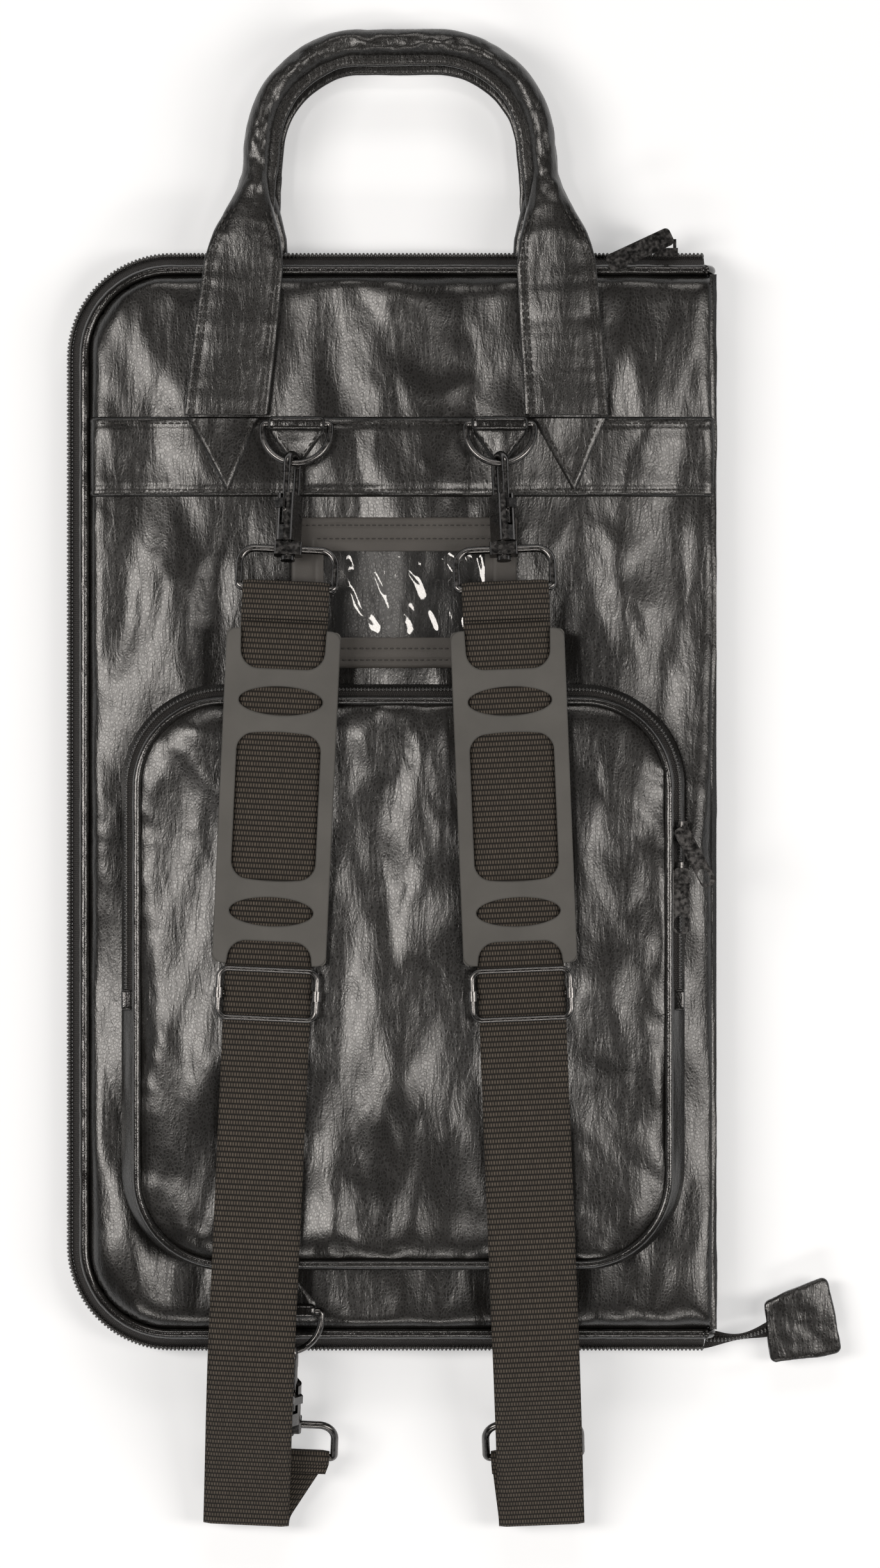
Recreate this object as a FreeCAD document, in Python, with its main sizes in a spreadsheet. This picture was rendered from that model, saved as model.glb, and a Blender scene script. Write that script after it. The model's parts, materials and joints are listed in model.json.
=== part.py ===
"""Drum stick bag lying on its back: a case that opens like a book, with handles and straps.

+Z points out of the front panel, +Y towards the handles and +X towards the spine.
The origin is the middle of the back panel's flat outer face. Lengths are in mm.
"""
import FreeCAD, Part
import math
import os

Vec = FreeCAD.Vector
doc = FreeCAD.newDocument("drum_stick_bag")

# ---------------------------------------------------------------- driving dimensions
SIZES = {
    # case
    "case_width": 289.0,
    "case_length": 489.0,
    "case_depth": 36.0,
    "corner_radius": 47.0,
    "panel_thick": 8.0,
    "panel_round": 3.5,
    "piping_inset": 10.8,
    "piping_radius": 2.3,
    "tape_thick": 1.2,
    "coil_width": 2.7,
    "coil_height": 2.5,
    "coil_gap": 0.2,
    "lining_thick": 0.8,
    "sleeve_depth": 7.0,
    "sleeve_wall": 1.2,
    "sleeve_length": 392.0,
    "spine_thick": 5.0,
    # bands and handles
    "band_thick": 2.0,
    "band_drop": 74.0,
    "band_height": 35.5,
    "tongue_width": 32.0,
    "tongue_drop": 32.0,
    "leg_width": 36.8,
    "leg_thick": 3.0,
    "leg_set": 0.4,
    "leg_tip_width": 12.0,
    "leg_left": -72.9,
    "leg_right": 77.9,
    "grip_left": -61.0,
    "grip_right": 69.0,
    "leg_rise": 23.5,
    "grip_height": 74.0,
    "grip_radius": 5.9,
    "grip_bend": 48.0,
    "core_radius": 3.6,
    # window
    "window_left": -43.9,
    "window_width": 99.7,
    "window_gap": 9.2,
    "window_height": 66.6,
    "vinyl_thick": 1.2,
    "film_shift": 14.4,
    "film_width": 71.1,
    "film_rise": 13.6,
    "film_height": 38.2,
    "film_thick": 0.5,
    # pocket
    "pocket_margin_left": 25.5,
    "pocket_margin_right": 14.5,
    "pocket_margin_low": 37.5,
    "pocket_gap": 7.2,
    "pocket_depth": 16.0,
    "pocket_slope": 10.0,
    "pocket_corner": 45.0,
    "pocket_wall": 1.8,
    "pocket_face": 4.0,
    "pocket_cord": 1.8,
    "zip_run": 135.0,
    "pocket_zip_inset": 2.7,
    "pocket_zip_level": 7.0,
    "pocket_zip_radius": 1.3,
    "zip_tab_width": 3.0,
    "zip_tab_length": 9.0,
    # rings, hooks and loops
    "ring_width": 33.0,
    "ring_height": 21.0,
    "ring_wire": 1.5,
    "keeper_width": 25.4,
    "keeper_depth": 6.5,
    "keeper_height": 5.0,
    "keeper_set": 0.25,
    "low_ring_rise": 19.5,
    "hook_wire": 1.75,
    "hook_reach": 4.4,
    "eye_gap": 0.45,
    "hook_tilt_top": 11.7,
    "hook_tilt_low": 30.0,
    "barrel_start": 15.0,
    "barrel_length": 21.0,
    "barrel_thick": 8.0,
    "bolt_radius": 1.6,
    "bolt_travel": 6.5,
    "post_radius": 2.2,
    "head_radius": 3.2,
    "head_length": 2.0,
    "boss_width": 12.4,
    "boss_height": 5.8,
    "boss_thick": 7.0,
    "loop_width": 45.6,
    "loop_height": 21.0,
    "loop_wire": 1.7,
    # straps
    "web_width": 38.1,
    "web_thick": 1.8,
    "strap_gap": 4.0,
    "strap_edge": 7.5,
    "strap_hang": 74.5,
    "low_bar_hang": 46.5,
    "fold_drop": 16.0,
    "flap_length": 14.0,
    "pad_width": 50.0,
    "pad_length": 147.0,
    "pad_thick": 6.0,
    "pad_drop": 91.4,
    "pad_slot_drop": 24.9,
    "pad_slot_high": 13.0,
    "pad_window_drop": 45.0,
    "pad_window_rise": 36.6,
    "pad_slot_rise": 16.7,
    "pad_slot_low": 13.1,
    "glide_width": 45.6,
    "glide_height": 24.0,
    "glide_wire": 1.3,
    # zip sliders and tail
    "slider_start": 19.4,
    "slider_length": 10.0,
    "slider_plate": 1.5,
    "slider_lip": 1.1,
    "slider_lap": 1.8,
    "bridge_rise": 3.2,
    "bridge_wire": 0.8,
    "pocket_slider_length": 9.0,
    "pocket_plate": 1.2,
    "pull_length": 31.0,
    "pull_width": 8.0,
    "pull_thick": 1.4,
    "pull_turn": 25.0,
    "pull_eye": 1.9,
    "pocket_slider_upper": 65.0,
    "pocket_slider_lower": 83.0,
    "tail_drop": 6.0,
    "tail_thick": 1.4,
    "tail_width": 5.6,
    "tab_thick": 4.4,
    # clearances
    "fit": 0.05,
    "play": 0.3,
}

sheet = doc.addObject("Spreadsheet::Sheet", "Sizes")
for row, (alias, value) in enumerate(SIZES.items(), start=1):
    sheet.set(f"A{row}", alias)
    sheet.set(f"B{row}", str(value))
    sheet.setAlias(f"B{row}", alias)
doc.recompute()


def size(alias):
    """The value of one cell of the sheet."""
    return float(getattr(sheet, alias))


nodes = []


# ---------------------------------------------------------------- helpers
def origin_plane(body, role):
    return next(f for f in body.Origin.OriginFeatures if f.Role == role)


def new_body(label):
    body = doc.addObject("PartDesign::Body", label)
    body.Label = label
    nodes.append(body)
    return body


def sketch_on(body, role, geometry, offset="0", name="Outline"):
    """A sketch on one of the body's origin planes, lifted by an expression."""
    sketch = body.newObject("Sketcher::SketchObject", name)
    sketch.AttachmentSupport = [(origin_plane(body, role), "")]
    sketch.MapMode = "FlatFace"
    sketch.setExpression("AttachmentOffset.Base.z", offset)
    sketch.addGeometry(geometry, False)
    return sketch


def pad(body, role, geometry, length, offset="0", name="Pad", back=False):
    """A pad whose length and offset are expressions of the sheet."""
    sketch = sketch_on(body, role, geometry, offset, name + "Sketch")
    feature = body.newObject("PartDesign::Pad", name)
    feature.Profile = sketch
    feature.setExpression("Length", length)
    feature.Reversed = back
    doc.recompute()
    return feature


def pocket(body, role, geometry, length, offset="0", name="Cut", both=False, back=False):
    """A pocket, checked to take material away."""
    before = body.Shape.Volume
    sketch = sketch_on(body, role, geometry, offset, name + "Sketch")
    feature = body.newObject("PartDesign::Pocket", name)
    feature.Profile = sketch
    feature.setExpression("Length", length)
    feature.Midplane = both
    feature.Reversed = back
    doc.recompute()
    if body.Shape.Volume > before - 1e-3:
        raise RuntimeError(f"{body.Label}: {name} cuts nothing")
    return feature


def outline(points, radii, closed=True):
    """Lines and tangent arcs through corner points, with a radius at each corner."""
    points = [Vec(p[0], p[1], 0) for p in points]
    count = len(points)
    if isinstance(radii, (int, float)):
        radii = [radii] * count
    pieces = []
    ends = []
    for i, corner in enumerate(points):
        radius = radii[i]
        if (not closed and i in (0, count - 1)) or radius <= 0:
            ends.append((corner, None, corner))
            continue
        into = (points[i - 1] - corner).normalize()
        away = (points[(i + 1) % count] - corner).normalize()
        half = into.getAngle(away) / 2
        reach = radius / math.tan(half)
        middle = (into + away).normalize()
        centre = corner + middle * (radius / math.sin(half))
        ends.append((corner + into * reach, centre - middle * radius, corner + away * reach))
    last = count if closed else count - 1
    for i in range(count):
        start, mid, stop = ends[i]
        if mid is not None:
            pieces.append(Part.Arc(start, mid, stop))
        if i < last:
            following = ends[(i + 1) % count][0]
            if (following - stop).Length > 1e-6:
                pieces.append(Part.LineSegment(stop, following))
    return pieces


def rectangle(left, low, width, height, radius=0.0):
    corners = [(left, low), (left + width, low)]
    corners += [(left + width, low + height), (left, low + height)]
    return outline(corners, radius)


def circle(x, y, radius):
    return [Part.Circle(Vec(x, y, 0), Vec(0, 0, 1), radius)]


def ribbon(points, radii, thick):
    """The closed outline of a strip of even thickness along a rounded line."""
    half = thick / 2
    sides = []
    for side in (1, -1):
        moved = []
        turned = []
        for i, (x, y) in enumerate(points):
            before = points[max(i - 1, 0)]
            after = points[min(i + 1, len(points) - 1)]
            first = Vec(x - before[0], y - before[1], 0)
            second = Vec(after[0] - x, after[1] - y, 0)
            if i == 0:
                first = second
            if i == len(points) - 1:
                second = first
            first.normalize()
            second.normalize()
            normal = Vec(-first.y - second.y, first.x + second.x, 0)
            normal.normalize()
            stretch = half / max(normal.dot(Vec(-first.y, first.x, 0)), 0.05)
            moved.append((x + side * normal.x * stretch, y + side * normal.y * stretch))
            turn = first.x * second.y - first.y * second.x
            turned.append(radii[i] - side * half if turn > 0 else radii[i] + side * half)
        sides.append((moved, turned))
    (left, left_radii), (right, right_radii) = sides
    corners = left + right[::-1]
    last = len(points) - 1
    rounds = [0 if i in (0, last) else r for i, r in enumerate(left_radii)]
    rounds += [0 if i in (0, last) else r for i, r in enumerate(right_radii)][::-1]
    return outline(corners, rounds)


def pipe(body, geometry, profile, role, offset, name="Pipe"):
    """Sweeps a profile on one origin plane along a path on the body's XY plane."""
    path = sketch_on(body, "XY_Plane", geometry, "0", name + "Path")
    section = sketch_on(body, role, profile, offset, name + "Section")
    feature = body.newObject("PartDesign::AdditivePipe", name)
    feature.Profile = section
    feature.Spine = path
    doc.recompute()
    return feature


def block(body, low, sides, name="Block"):
    """A box added to a body, from its low corner and its three sides."""
    feature = body.newObject("PartDesign::AdditiveBox", name)
    feature.Length, feature.Width, feature.Height = sides
    feature.MapMode = "Deactivated"
    feature.Placement = FreeCAD.Placement(Vec(*low), FreeCAD.Rotation())
    doc.recompute()
    return feature


def rod(body, kind, start, direction, radius, length, name):
    """A round rod added to, or bored out of, a body along a direction."""
    feature = body.newObject("PartDesign::" + kind + "Cylinder", name)
    feature.Radius = radius
    feature.Height = length
    feature.MapMode = "Deactivated"
    turn = FreeCAD.Rotation(Vec(0, 0, 1), Vec(*direction))
    feature.Placement = FreeCAD.Placement(Vec(*start), turn)
    doc.recompute()
    if "Invalid" in feature.State:
        raise RuntimeError(f"{body.Label}: {name} {feature.State}")
    return feature


def round_edges(body, test, radius, name="Round"):
    """Fillets the tip's edges that pass a test."""
    tip = body.Tip
    names = [f"Edge{i}" for i, e in enumerate(tip.Shape.Edges, start=1) if test(e)]
    feature = body.newObject("PartDesign::Fillet", name)
    feature.Base = (tip, names)
    feature.Radius = radius
    doc.recompute()
    return feature


def edge_level(edge, axis, value):
    """True for an edge that lies wholly at one level of an axis."""
    box = edge.BoundBox
    low = getattr(box, axis + "Min")
    high = getattr(box, axis + "Max")
    return abs(low - value) < 1e-4 and abs(high - value) < 1e-4


def join(label, parts):
    """One node from several placed shapes of the document."""
    feature = doc.addObject("Part::MultiFuse", label)
    feature.Label = label
    feature.Shapes = parts
    nodes.append(feature)
    doc.recompute()
    return feature


# ---------------------------------------------------------------- worked-out levels
half_width = size("case_width") / 2
half_length = size("case_length") / 2
depth = size("case_depth")
middle = depth / 2
panel = size("panel_thick")
inset = size("piping_inset")
play = size("play")
fit = size("fit")
spine_radius = size("spine_thick") / 2
spine_x = half_width - spine_radius
hinge_low = panel
hinge_high = depth - panel
panel_left = -half_width + inset
panel_half = half_length - inset
panel_corner = size("corner_radius") - inset
wrap_gap = spine_radius + play
front = depth
band_top = half_length - size("band_drop")
band_low = band_top - size("band_height")
band_left = panel_left + size("piping_radius") + 1.0
leg_thick = size("leg_thick")
leg_hinge_y = band_top + play + leg_thick / 2
grip_start = half_length + size("leg_rise")
grip_top = grip_start + size("grip_height")
window_low = band_low - size("window_gap") - size("window_height")
film_left = size("window_left") + size("film_shift")
film_low = window_low + size("film_rise")


def edge_path(offset):
    """The rim from the spine's top end round the left side to its bottom end."""
    right = spine_x - wrap_gap
    left = -half_width + offset
    high = half_length - offset
    corners = [(right, high), (left, high), (left, -high), (right, -high)]
    radius = size("corner_radius") - offset
    return outline(corners, [0, radius, radius, 0], closed=False)


# ---------------------------------------------------------------- case halves
def padded_panel(label, outer, inner_up):
    """A padded leather panel: rounded at its outer edge, cut back beside the spine."""
    body = new_body(label)
    corners = [(half_width, panel_half), (panel_left, panel_half)]
    corners += [(panel_left, -panel_half), (half_width, -panel_half)]
    shape = outline(corners, [6, panel_corner, panel_corner, 6])
    start = "0" if inner_up else "Sizes.case_depth - Sizes.panel_thick"
    pad(body, "XY_Plane", shape, "Sizes.panel_thick", start, "Panel")
    step = rectangle(spine_x - wrap_gap, -half_length, 2 * wrap_gap, 2 * half_length)
    step_depth = "Sizes.spine_thick / 2 + Sizes.play"
    if inner_up:
        pocket(body, "XY_Plane", step, step_depth, "Sizes.panel_thick", "SpineStep")
    else:
        level = "Sizes.case_depth - Sizes.panel_thick"
        pocket(body, "XY_Plane", step, step_depth, level, "SpineStep", back=True)
    round_edges(body, lambda e: edge_level(e, "Z", outer), size("panel_round"))
    return body


back_shell = padded_panel("back_shell", 0.0, True)
recess = "Sizes.band_thick"
pocket(back_shell, "XY_Plane",
       rectangle(band_left, band_low, spine_x - 8 - band_left, band_top - band_low),
       recess, "0", "BandRecess", back=True)
for leg_x, grip_x in ((size("leg_left"), size("grip_left")), (size("leg_right"), size("grip_right"))):
    wide = size("leg_width") / 2 + 1.0
    lean = (grip_x - leg_x) * 0.75
    corners = [(leg_x - wide, band_top), (leg_x + wide, band_top)]
    corners += [(leg_x + wide + lean, half_length), (leg_x - wide + lean, half_length)]
    pocket(back_shell, "XY_Plane", outline(corners, 0), "Sizes.leg_thick + Sizes.leg_set + 2 * Sizes.play",
           "0", "LegRecess", back=True)
front_shell = padded_panel("front_shell", depth, False)


def band(label, level):
    body = new_body(label)
    shape = rectangle(band_left, band_low, spine_x - 8 - band_left, band_top - band_low)
    pad(body, "XY_Plane", shape, "Sizes.band_thick", level, "Band")
    return body


back_band = band("back_band", "0")
front_band = band("front_band", "Sizes.case_depth")
for tongue_x in (size("leg_left") + 0.7, size("leg_right") + 2.0):
    half = size("tongue_width") / 2
    drop = size("tongue_drop")
    corners = [(tongue_x - half, band_top - 1.5), (tongue_x, band_top - 1.5 - drop)]
    corners += [(tongue_x + half, band_top - 1.5)]
    pad(front_band, "XY_Plane", outline(corners, [1, 3, 1]), "1.0",
        "Sizes.case_depth + Sizes.band_thick", "Tongue")


def rim(label, offset, level, profile, role="YZ_Plane"):
    """A profile swept round the rim, on the plane of the spine's edge."""
    body = new_body(label)
    pipe(body, edge_path(offset), profile, role, str(spine_x - wrap_gap))
    body.Placement = FreeCAD.Placement(Vec(0, 0, level), FreeCAD.Rotation())
    return body


pipe_offset = inset
pipe_y = half_length - pipe_offset
for half_name, level in (("back", hinge_low), ("front", hinge_high)):
    reach = size("piping_radius")
    body = rim(half_name + "_piping", pipe_offset - reach - 0.02, level,
               circle(pipe_y + reach + 0.02, 0, reach))
coil_out = half_length
coil_in = coil_out - size("coil_width")
for half_name, sign in (("back", -1), ("front", 1)):
    low = size("coil_gap") / 2 if sign > 0 else -size("coil_gap") / 2 - size("coil_height")
    rim(half_name + "_zip_coil", size("coil_width") / 2, middle,
        rectangle(coil_in, low, size("coil_width"), size("coil_height"), 0.6))
    thick = size("tape_thick")
    top_y = coil_in - thick / 2 - 0.02
    low_y = pipe_y + reach
    line = [(top_y, sign * 0.2), (top_y, sign * 3.0), (low_y, sign * (middle - panel - reach - 0.6))]
    rim(half_name + "_zip_tape", half_length - top_y, middle,
        ribbon(line, [0, 1.2, 0], thick))


def liner(label, level):
    """The thin fabric lining on the inner face of one panel."""
    body = new_body(label)
    gap = 2 * size("piping_radius") + 1.0
    shape = rectangle(panel_left + gap, -panel_half + gap, spine_x - wrap_gap - gap - panel_left - 2,
                      2 * (panel_half - gap), panel_corner - gap)
    pad(body, "XY_Plane", shape, "Sizes.lining_thick", level, "Lining")
    return body


liner("back_lining", "Sizes.panel_thick")
liner("front_lining", "Sizes.case_depth - Sizes.panel_thick - Sizes.lining_thick")


def sleeves(label, level, count):
    """Stick sleeves: a fabric panel sewn in upright rows, open at the top."""
    body = new_body(label)
    wall = size("sleeve_wall")
    left = panel_left + 16.0
    width = spine_x - 14.0 - left
    low = -panel_half + 16.0
    long = size("sleeve_length")
    pad(body, "XY_Plane", rectangle(left, low, width, long, 6), "Sizes.sleeve_depth", level, "Sleeves")
    step = (width - wall) / count
    for i in range(count):
        hole = rectangle(left + wall + i * step, low + wall, step - wall, long, 0)
        depth_text = "Sizes.sleeve_depth - 2 * Sizes.sleeve_wall"
        start = level + " + Sizes.sleeve_depth - Sizes.sleeve_wall"
        pocket(body, "XY_Plane", hole, depth_text, start, f"Sleeve{i}")
    return body


back_level = "Sizes.panel_thick + Sizes.lining_thick"
front_level = "Sizes.case_depth - Sizes.panel_thick - Sizes.lining_thick - Sizes.sleeve_depth"
sleeves("back_sleeves", back_level, 3)
sleeves("front_sleeves", front_level, 2)

# ---------------------------------------------------------------- spine
spine = new_body("spine_wrap")
strip = outline([(spine_x - spine_radius, hinge_low - spine_radius),
                 (spine_x + spine_radius, hinge_low - spine_radius),
                 (spine_x + spine_radius, hinge_high + spine_radius),
                 (spine_x - spine_radius, hinge_high + spine_radius)], spine_radius - 0.001)
spine_half = panel_half
spine_run = f"{2 * spine_half}"
pad(spine, "XZ_Plane", strip, spine_run, f"{-spine_half}", "Wrap")
spine_ends = []
for end in (1, -1):
    piece = doc.addObject("Part::Cylinder", "SpinePipingPart")
    piece.setExpression("Radius", "Sizes.piping_radius")
    piece.Height = hinge_high - hinge_low
    piece.Placement.Base = Vec(spine_x, end * (spine_half + size("piping_radius") + 0.02), hinge_low)
    spine_ends.append(piece)
join("spine_piping", spine_ends)

# ---------------------------------------------------------------- identity window
vinyl = new_body("window_frame")
pad(vinyl, "XY_Plane", rectangle(size("window_left"), window_low, size("window_width"),
    size("window_height"), 3), "Sizes.vinyl_thick", "Sizes.case_depth", "Vinyl")
pocket(vinyl, "XY_Plane", rectangle(film_left, film_low, size("film_width"),
       size("film_height"), 1), "Sizes.vinyl_thick", "Sizes.case_depth + Sizes.vinyl_thick", "Opening")
film = new_body("window_film")
pad(film, "XY_Plane", rectangle(film_left, film_low, size("film_width"),
    size("film_height"), 1), "Sizes.film_thick", "Sizes.case_depth + 0.2", "Film")

# ---------------------------------------------------------------- pocket
slope = size("pocket_slope")
pocket_left = -half_width + size("pocket_margin_left")
pocket_low = -half_length + size("pocket_margin_low")
pocket_right = half_width - size("pocket_margin_right")
pocket_high = window_low - size("pocket_gap")
face_z = front + size("pocket_depth")


def pocket_frame(inward, radius):
    """The pocket's outline in plan, moved inward from its base."""
    low_in = inward * 0.5
    return rectangle(pocket_left + inward, pocket_low + low_in, pocket_right - pocket_left - 2 * inward,
                     pocket_high - pocket_low - low_in - inward, radius)


def tapered(body, kind, lower, upper, level, rise, name):
    """A loft between two outlines at two levels."""
    first = sketch_on(body, "XY_Plane", lower, level, name + "Low")
    second = sketch_on(body, "XY_Plane", upper, level + " + " + rise, name + "High")
    feature = body.newObject("PartDesign::" + kind + "Loft", name)
    feature.Profile = first
    feature.Sections = [second]
    feature.Ruled = True
    doc.recompute()
    return feature


purse = new_body("pocket_bag")
wall = size("pocket_wall")
corner = size("pocket_corner")
tapered(purse, "Additive", pocket_frame(0, corner), pocket_frame(slope, corner - slope),
        "Sizes.case_depth", "Sizes.pocket_depth", "Bag")
tapered(purse, "Subtractive", pocket_frame(wall, corner - wall),
        pocket_frame(slope + wall, corner - slope - wall),
        "Sizes.case_depth", "Sizes.pocket_depth - Sizes.pocket_face", "Inside")


def ring_pipe(label, geometry, radius, level, x_start, y_start):
    """A round cord swept along a closed or open line in plan, at one level."""
    body = new_body(label)
    pipe(body, geometry, circle(y_start, 0, radius), "YZ_Plane", str(x_start))
    body.Placement = FreeCAD.Placement(Vec(0, 0, level), FreeCAD.Rotation())
    return body


cord = size("pocket_cord")
SEAM_DROP = 1.5


def cord_inset(run):
    """How far inside the base the cord lies, just below the face's edge on the slope."""
    rise = size("pocket_depth")
    long = math.hypot(run, rise)
    return run - SEAM_DROP * run / long - (cord + fit) * rise / long


cord_side = cord_inset(slope)
cord_low = cord_inset(slope * 0.5) - 0.5
high_y = pocket_high - cord_side
centre_x = (pocket_left + pocket_right) / 2
face_corners = [(pocket_left + cord_side, high_y), (pocket_left + cord_side, pocket_low + cord_low),
                (pocket_right - cord_side, pocket_low + cord_low), (pocket_right - cord_side, high_y)]
loop_line = outline([(centre_x, high_y)] + face_corners + [(centre_x, high_y)],
                    [0] + [corner - cord_side - 0.3] * 4 + [0], closed=False)
ring_pipe("pocket_piping", loop_line, cord, face_z - 0.3, centre_x, high_y)

zip_inset = size("pocket_zip_inset")
zip_level = front + size("pocket_zip_level")
zip_low = pocket_high - size("zip_run")
zip_right = pocket_right - zip_inset
zip_left = pocket_left + zip_inset
zip_line = outline([(zip_right, zip_low), (zip_right, pocket_high - zip_inset),
                    (zip_left, pocket_high - zip_inset), (zip_left, zip_low)],
                   [0, corner - zip_inset, corner - zip_inset, 0], closed=False)
pocket_zip = new_body("pocket_zip")
pipe(pocket_zip, zip_line, circle(zip_right, 0, size("pocket_zip_radius")),
     "XZ_Plane", str(-zip_low))
pocket_zip.Placement = FreeCAD.Placement(Vec(0, 0, zip_level), FreeCAD.Rotation())

tabs = []
for x in (zip_left, zip_right):
    tab = doc.addObject("Part::Box", "ZipTabPart")
    wide = size("zip_tab_width")
    tab.setExpression("Length", "Sizes.zip_tab_width")
    tab.setExpression("Width", "Sizes.zip_tab_length")
    tab.setExpression("Height", "Sizes.zip_tab_width")
    start = pocket_left + 0.2 if x < 0 else pocket_right - wide - 0.2
    tab.Placement.Base = Vec(start, zip_low - size("zip_tab_length") - fit, zip_level - wide / 2)
    tabs.append(tab)
join("pocket_zip_tabs", tabs)

# ---------------------------------------------------------------- handles
grip_radius = size("grip_radius")
leg_low = grip_radius - leg_thick - size("leg_set")


def grip_line(inward):
    """The grip's arch in plan, moved inward from its middle line."""
    left = size("grip_left") + inward
    right = size("grip_right") - inward
    top = grip_top - grip_radius - inward
    start = grip_start
    return [(left, start), (left + 6, top), (right - 6, top), (right, start)]


def handle(label, level, up):
    """A rolled grip with a stitched seam on its inner side and two flat legs."""
    body = new_body(label)
    start_text = str(-grip_start)
    bend = size("grip_bend")
    path = outline(grip_line(0), [0, bend, bend, 0], closed=False)
    left = size("grip_left")
    hollow = circle(left, 0, grip_radius) + circle(left, 0, size("core_radius") + fit)
    pipe(body, path, hollow, "XZ_Plane", start_text, "Grip")
    shift = grip_radius + 1.6
    seam = ribbon(grip_line(shift), [0, bend - shift, bend - shift, 0], 5.6)
    pad(body, "XY_Plane", seam, "Sizes.tape_thick * 2", "-Sizes.tape_thick", "Seam")
    leg_level = leg_low if up else -leg_low - leg_thick
    for leg_x, grip_x in ((size("leg_left"), size("grip_left")), (size("leg_right"), size("grip_right"))):
        half = size("leg_width") / 2
        tip = size("leg_tip_width") / 2
        middle_x = leg_x + (grip_x - leg_x) * 0.7
        top_y = grip_start + 1.5
        corners = [(leg_x - half, leg_hinge_y), (leg_x + half, leg_hinge_y)]
        corners += [(middle_x + half - 1, half_length - 4), (grip_x + tip, top_y)]
        corners += [(grip_x - tip, top_y), (middle_x - half + 1, half_length - 4)]
        pad(body, "XY_Plane", outline(corners, [0, 0, 14, 2, 2, 14]), "Sizes.leg_thick",
            str(leg_level), "Leg")
        rod(body, "Additive", (leg_x - half, leg_hinge_y, leg_level + leg_thick / 2), (1, 0, 0),
            leg_thick / 2 - 0.02, size("leg_width"), "LegRoot")
    body.Placement = FreeCAD.Placement(Vec(0, 0, level), FreeCAD.Rotation())
    core = new_body(label + "_core")
    low_left, high_left, high_right, low_right = [Vec(x, y, 0) for x, y in grip_line(0)]
    low_left += (high_left - low_left).normalize() * 2.0
    low_right += (high_right - low_right).normalize() * 2.0
    core_line = [(p.x, p.y) for p in (low_left, high_left, high_right, low_right)]
    pipe(core, outline(core_line, [0, bend, bend, 0], closed=False),
         circle(low_left.x, 0, size("core_radius")), "XZ_Plane", str(-low_left.y), "Core")
    core.Placement = FreeCAD.Placement(Vec(0, 0, level), FreeCAD.Rotation())
    return body


front_grip_z = front + play - leg_low
back_grip_z = play + grip_radius
handle("front_handle", front_grip_z, True)
handle("back_handle", back_grip_z, False)

# ---------------------------------------------------------------- rings and keepers
ring_wire = size("ring_wire")
ring_drop = size("ring_height") - 2 * ring_wire
keeper_bar = size("keeper_height") / 2
top_ring_y = band_top - size("keeper_depth") / 2 - size("keeper_set")
low_ring_y = -half_length + size("low_ring_rise")
SIDES = {
    "left": {"ring": -41.6, "hook": -43.2, "low_ring": -45.6, "low_bar": -46.5, "yaw": -2.6,
             "top_roll": 60.0, "low_roll": 120.0},
    "right": {"ring": 48.3, "hook": 48.2, "low_ring": 62.0, "low_bar": 63.5, "yaw": 2.3,
              "top_roll": 120.0, "low_roll": 60.0},
}
top_ring_z = front + size("band_thick") + keeper_bar
low_ring_z = front + keeper_bar
keepers = []
for values in SIDES.values():
    for x, y, z in ((values["ring"], top_ring_y, top_ring_z), (values["low_ring"], low_ring_y, low_ring_z)):
        holder = doc.addObject("Part::Box", "KeeperBlock")
        holder.setExpression("Length", "Sizes.keeper_width")
        holder.setExpression("Width", "Sizes.keeper_depth")
        holder.setExpression("Height", "Sizes.keeper_height")
        low_corner = Vec(x - size("keeper_width") / 2, y - size("keeper_depth") / 2, z - keeper_bar)
        holder.Placement.Base = low_corner
        eye = doc.addObject("Part::Cylinder", "KeeperEye")
        eye.setExpression("Radius", "Sizes.ring_wire + Sizes.fit")
        eye.setExpression("Height", "Sizes.keeper_width + 2")
        eye.Placement = FreeCAD.Placement(low_corner + Vec(-1, size("keeper_depth") / 2, keeper_bar),
                                          FreeCAD.Rotation(Vec(0, 1, 0), 90))
        bored = doc.addObject("Part::Cut", "KeeperLoop")
        bored.Base = holder
        bored.Tool = eye
        keepers.append(bored)
doc.recompute()
join("ring_keepers", keepers)


def tilt(degrees):
    """A turn about X that lifts the far, -Y end."""
    return FreeCAD.Rotation(Vec(1, 0, 0), -degrees)


def roll(degrees):
    return FreeCAD.Rotation(Vec(0, 1, 0), degrees)


def d_ring(label, placement):
    body = new_body(label)
    half = size("ring_width") / 2 - ring_wire
    line = outline([(0, 0), (half, 0), (half, -ring_drop), (-half, -ring_drop), (-half, 0), (0, 0)],
                   [0, ring_wire + 0.15, half - 0.01, half - 0.01, ring_wire + 0.15, 0], closed=False)
    pipe(body, line, circle(0, 0, ring_wire), "YZ_Plane", "0", "Ring")
    body.Placement = placement


# ---------------------------------------------------------------- swivel snap hooks
hook_wire = size("hook_wire")
reach_x = size("hook_reach")
eye_top = ring_wire + size("eye_gap") + hook_wire
nose_y = -5.0
barrel_start = size("barrel_start")
barrel_end = barrel_start + size("barrel_length")
boss_half = size("boss_height") / 2
boss_y = barrel_end + play + boss_half
bolt_radius = size("bolt_radius")
bolt_end = 28.0
loop_wire = size("loop_wire")
loop_drop = size("loop_height") - 2 * loop_wire
bar_y = boss_y + loop_drop


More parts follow.
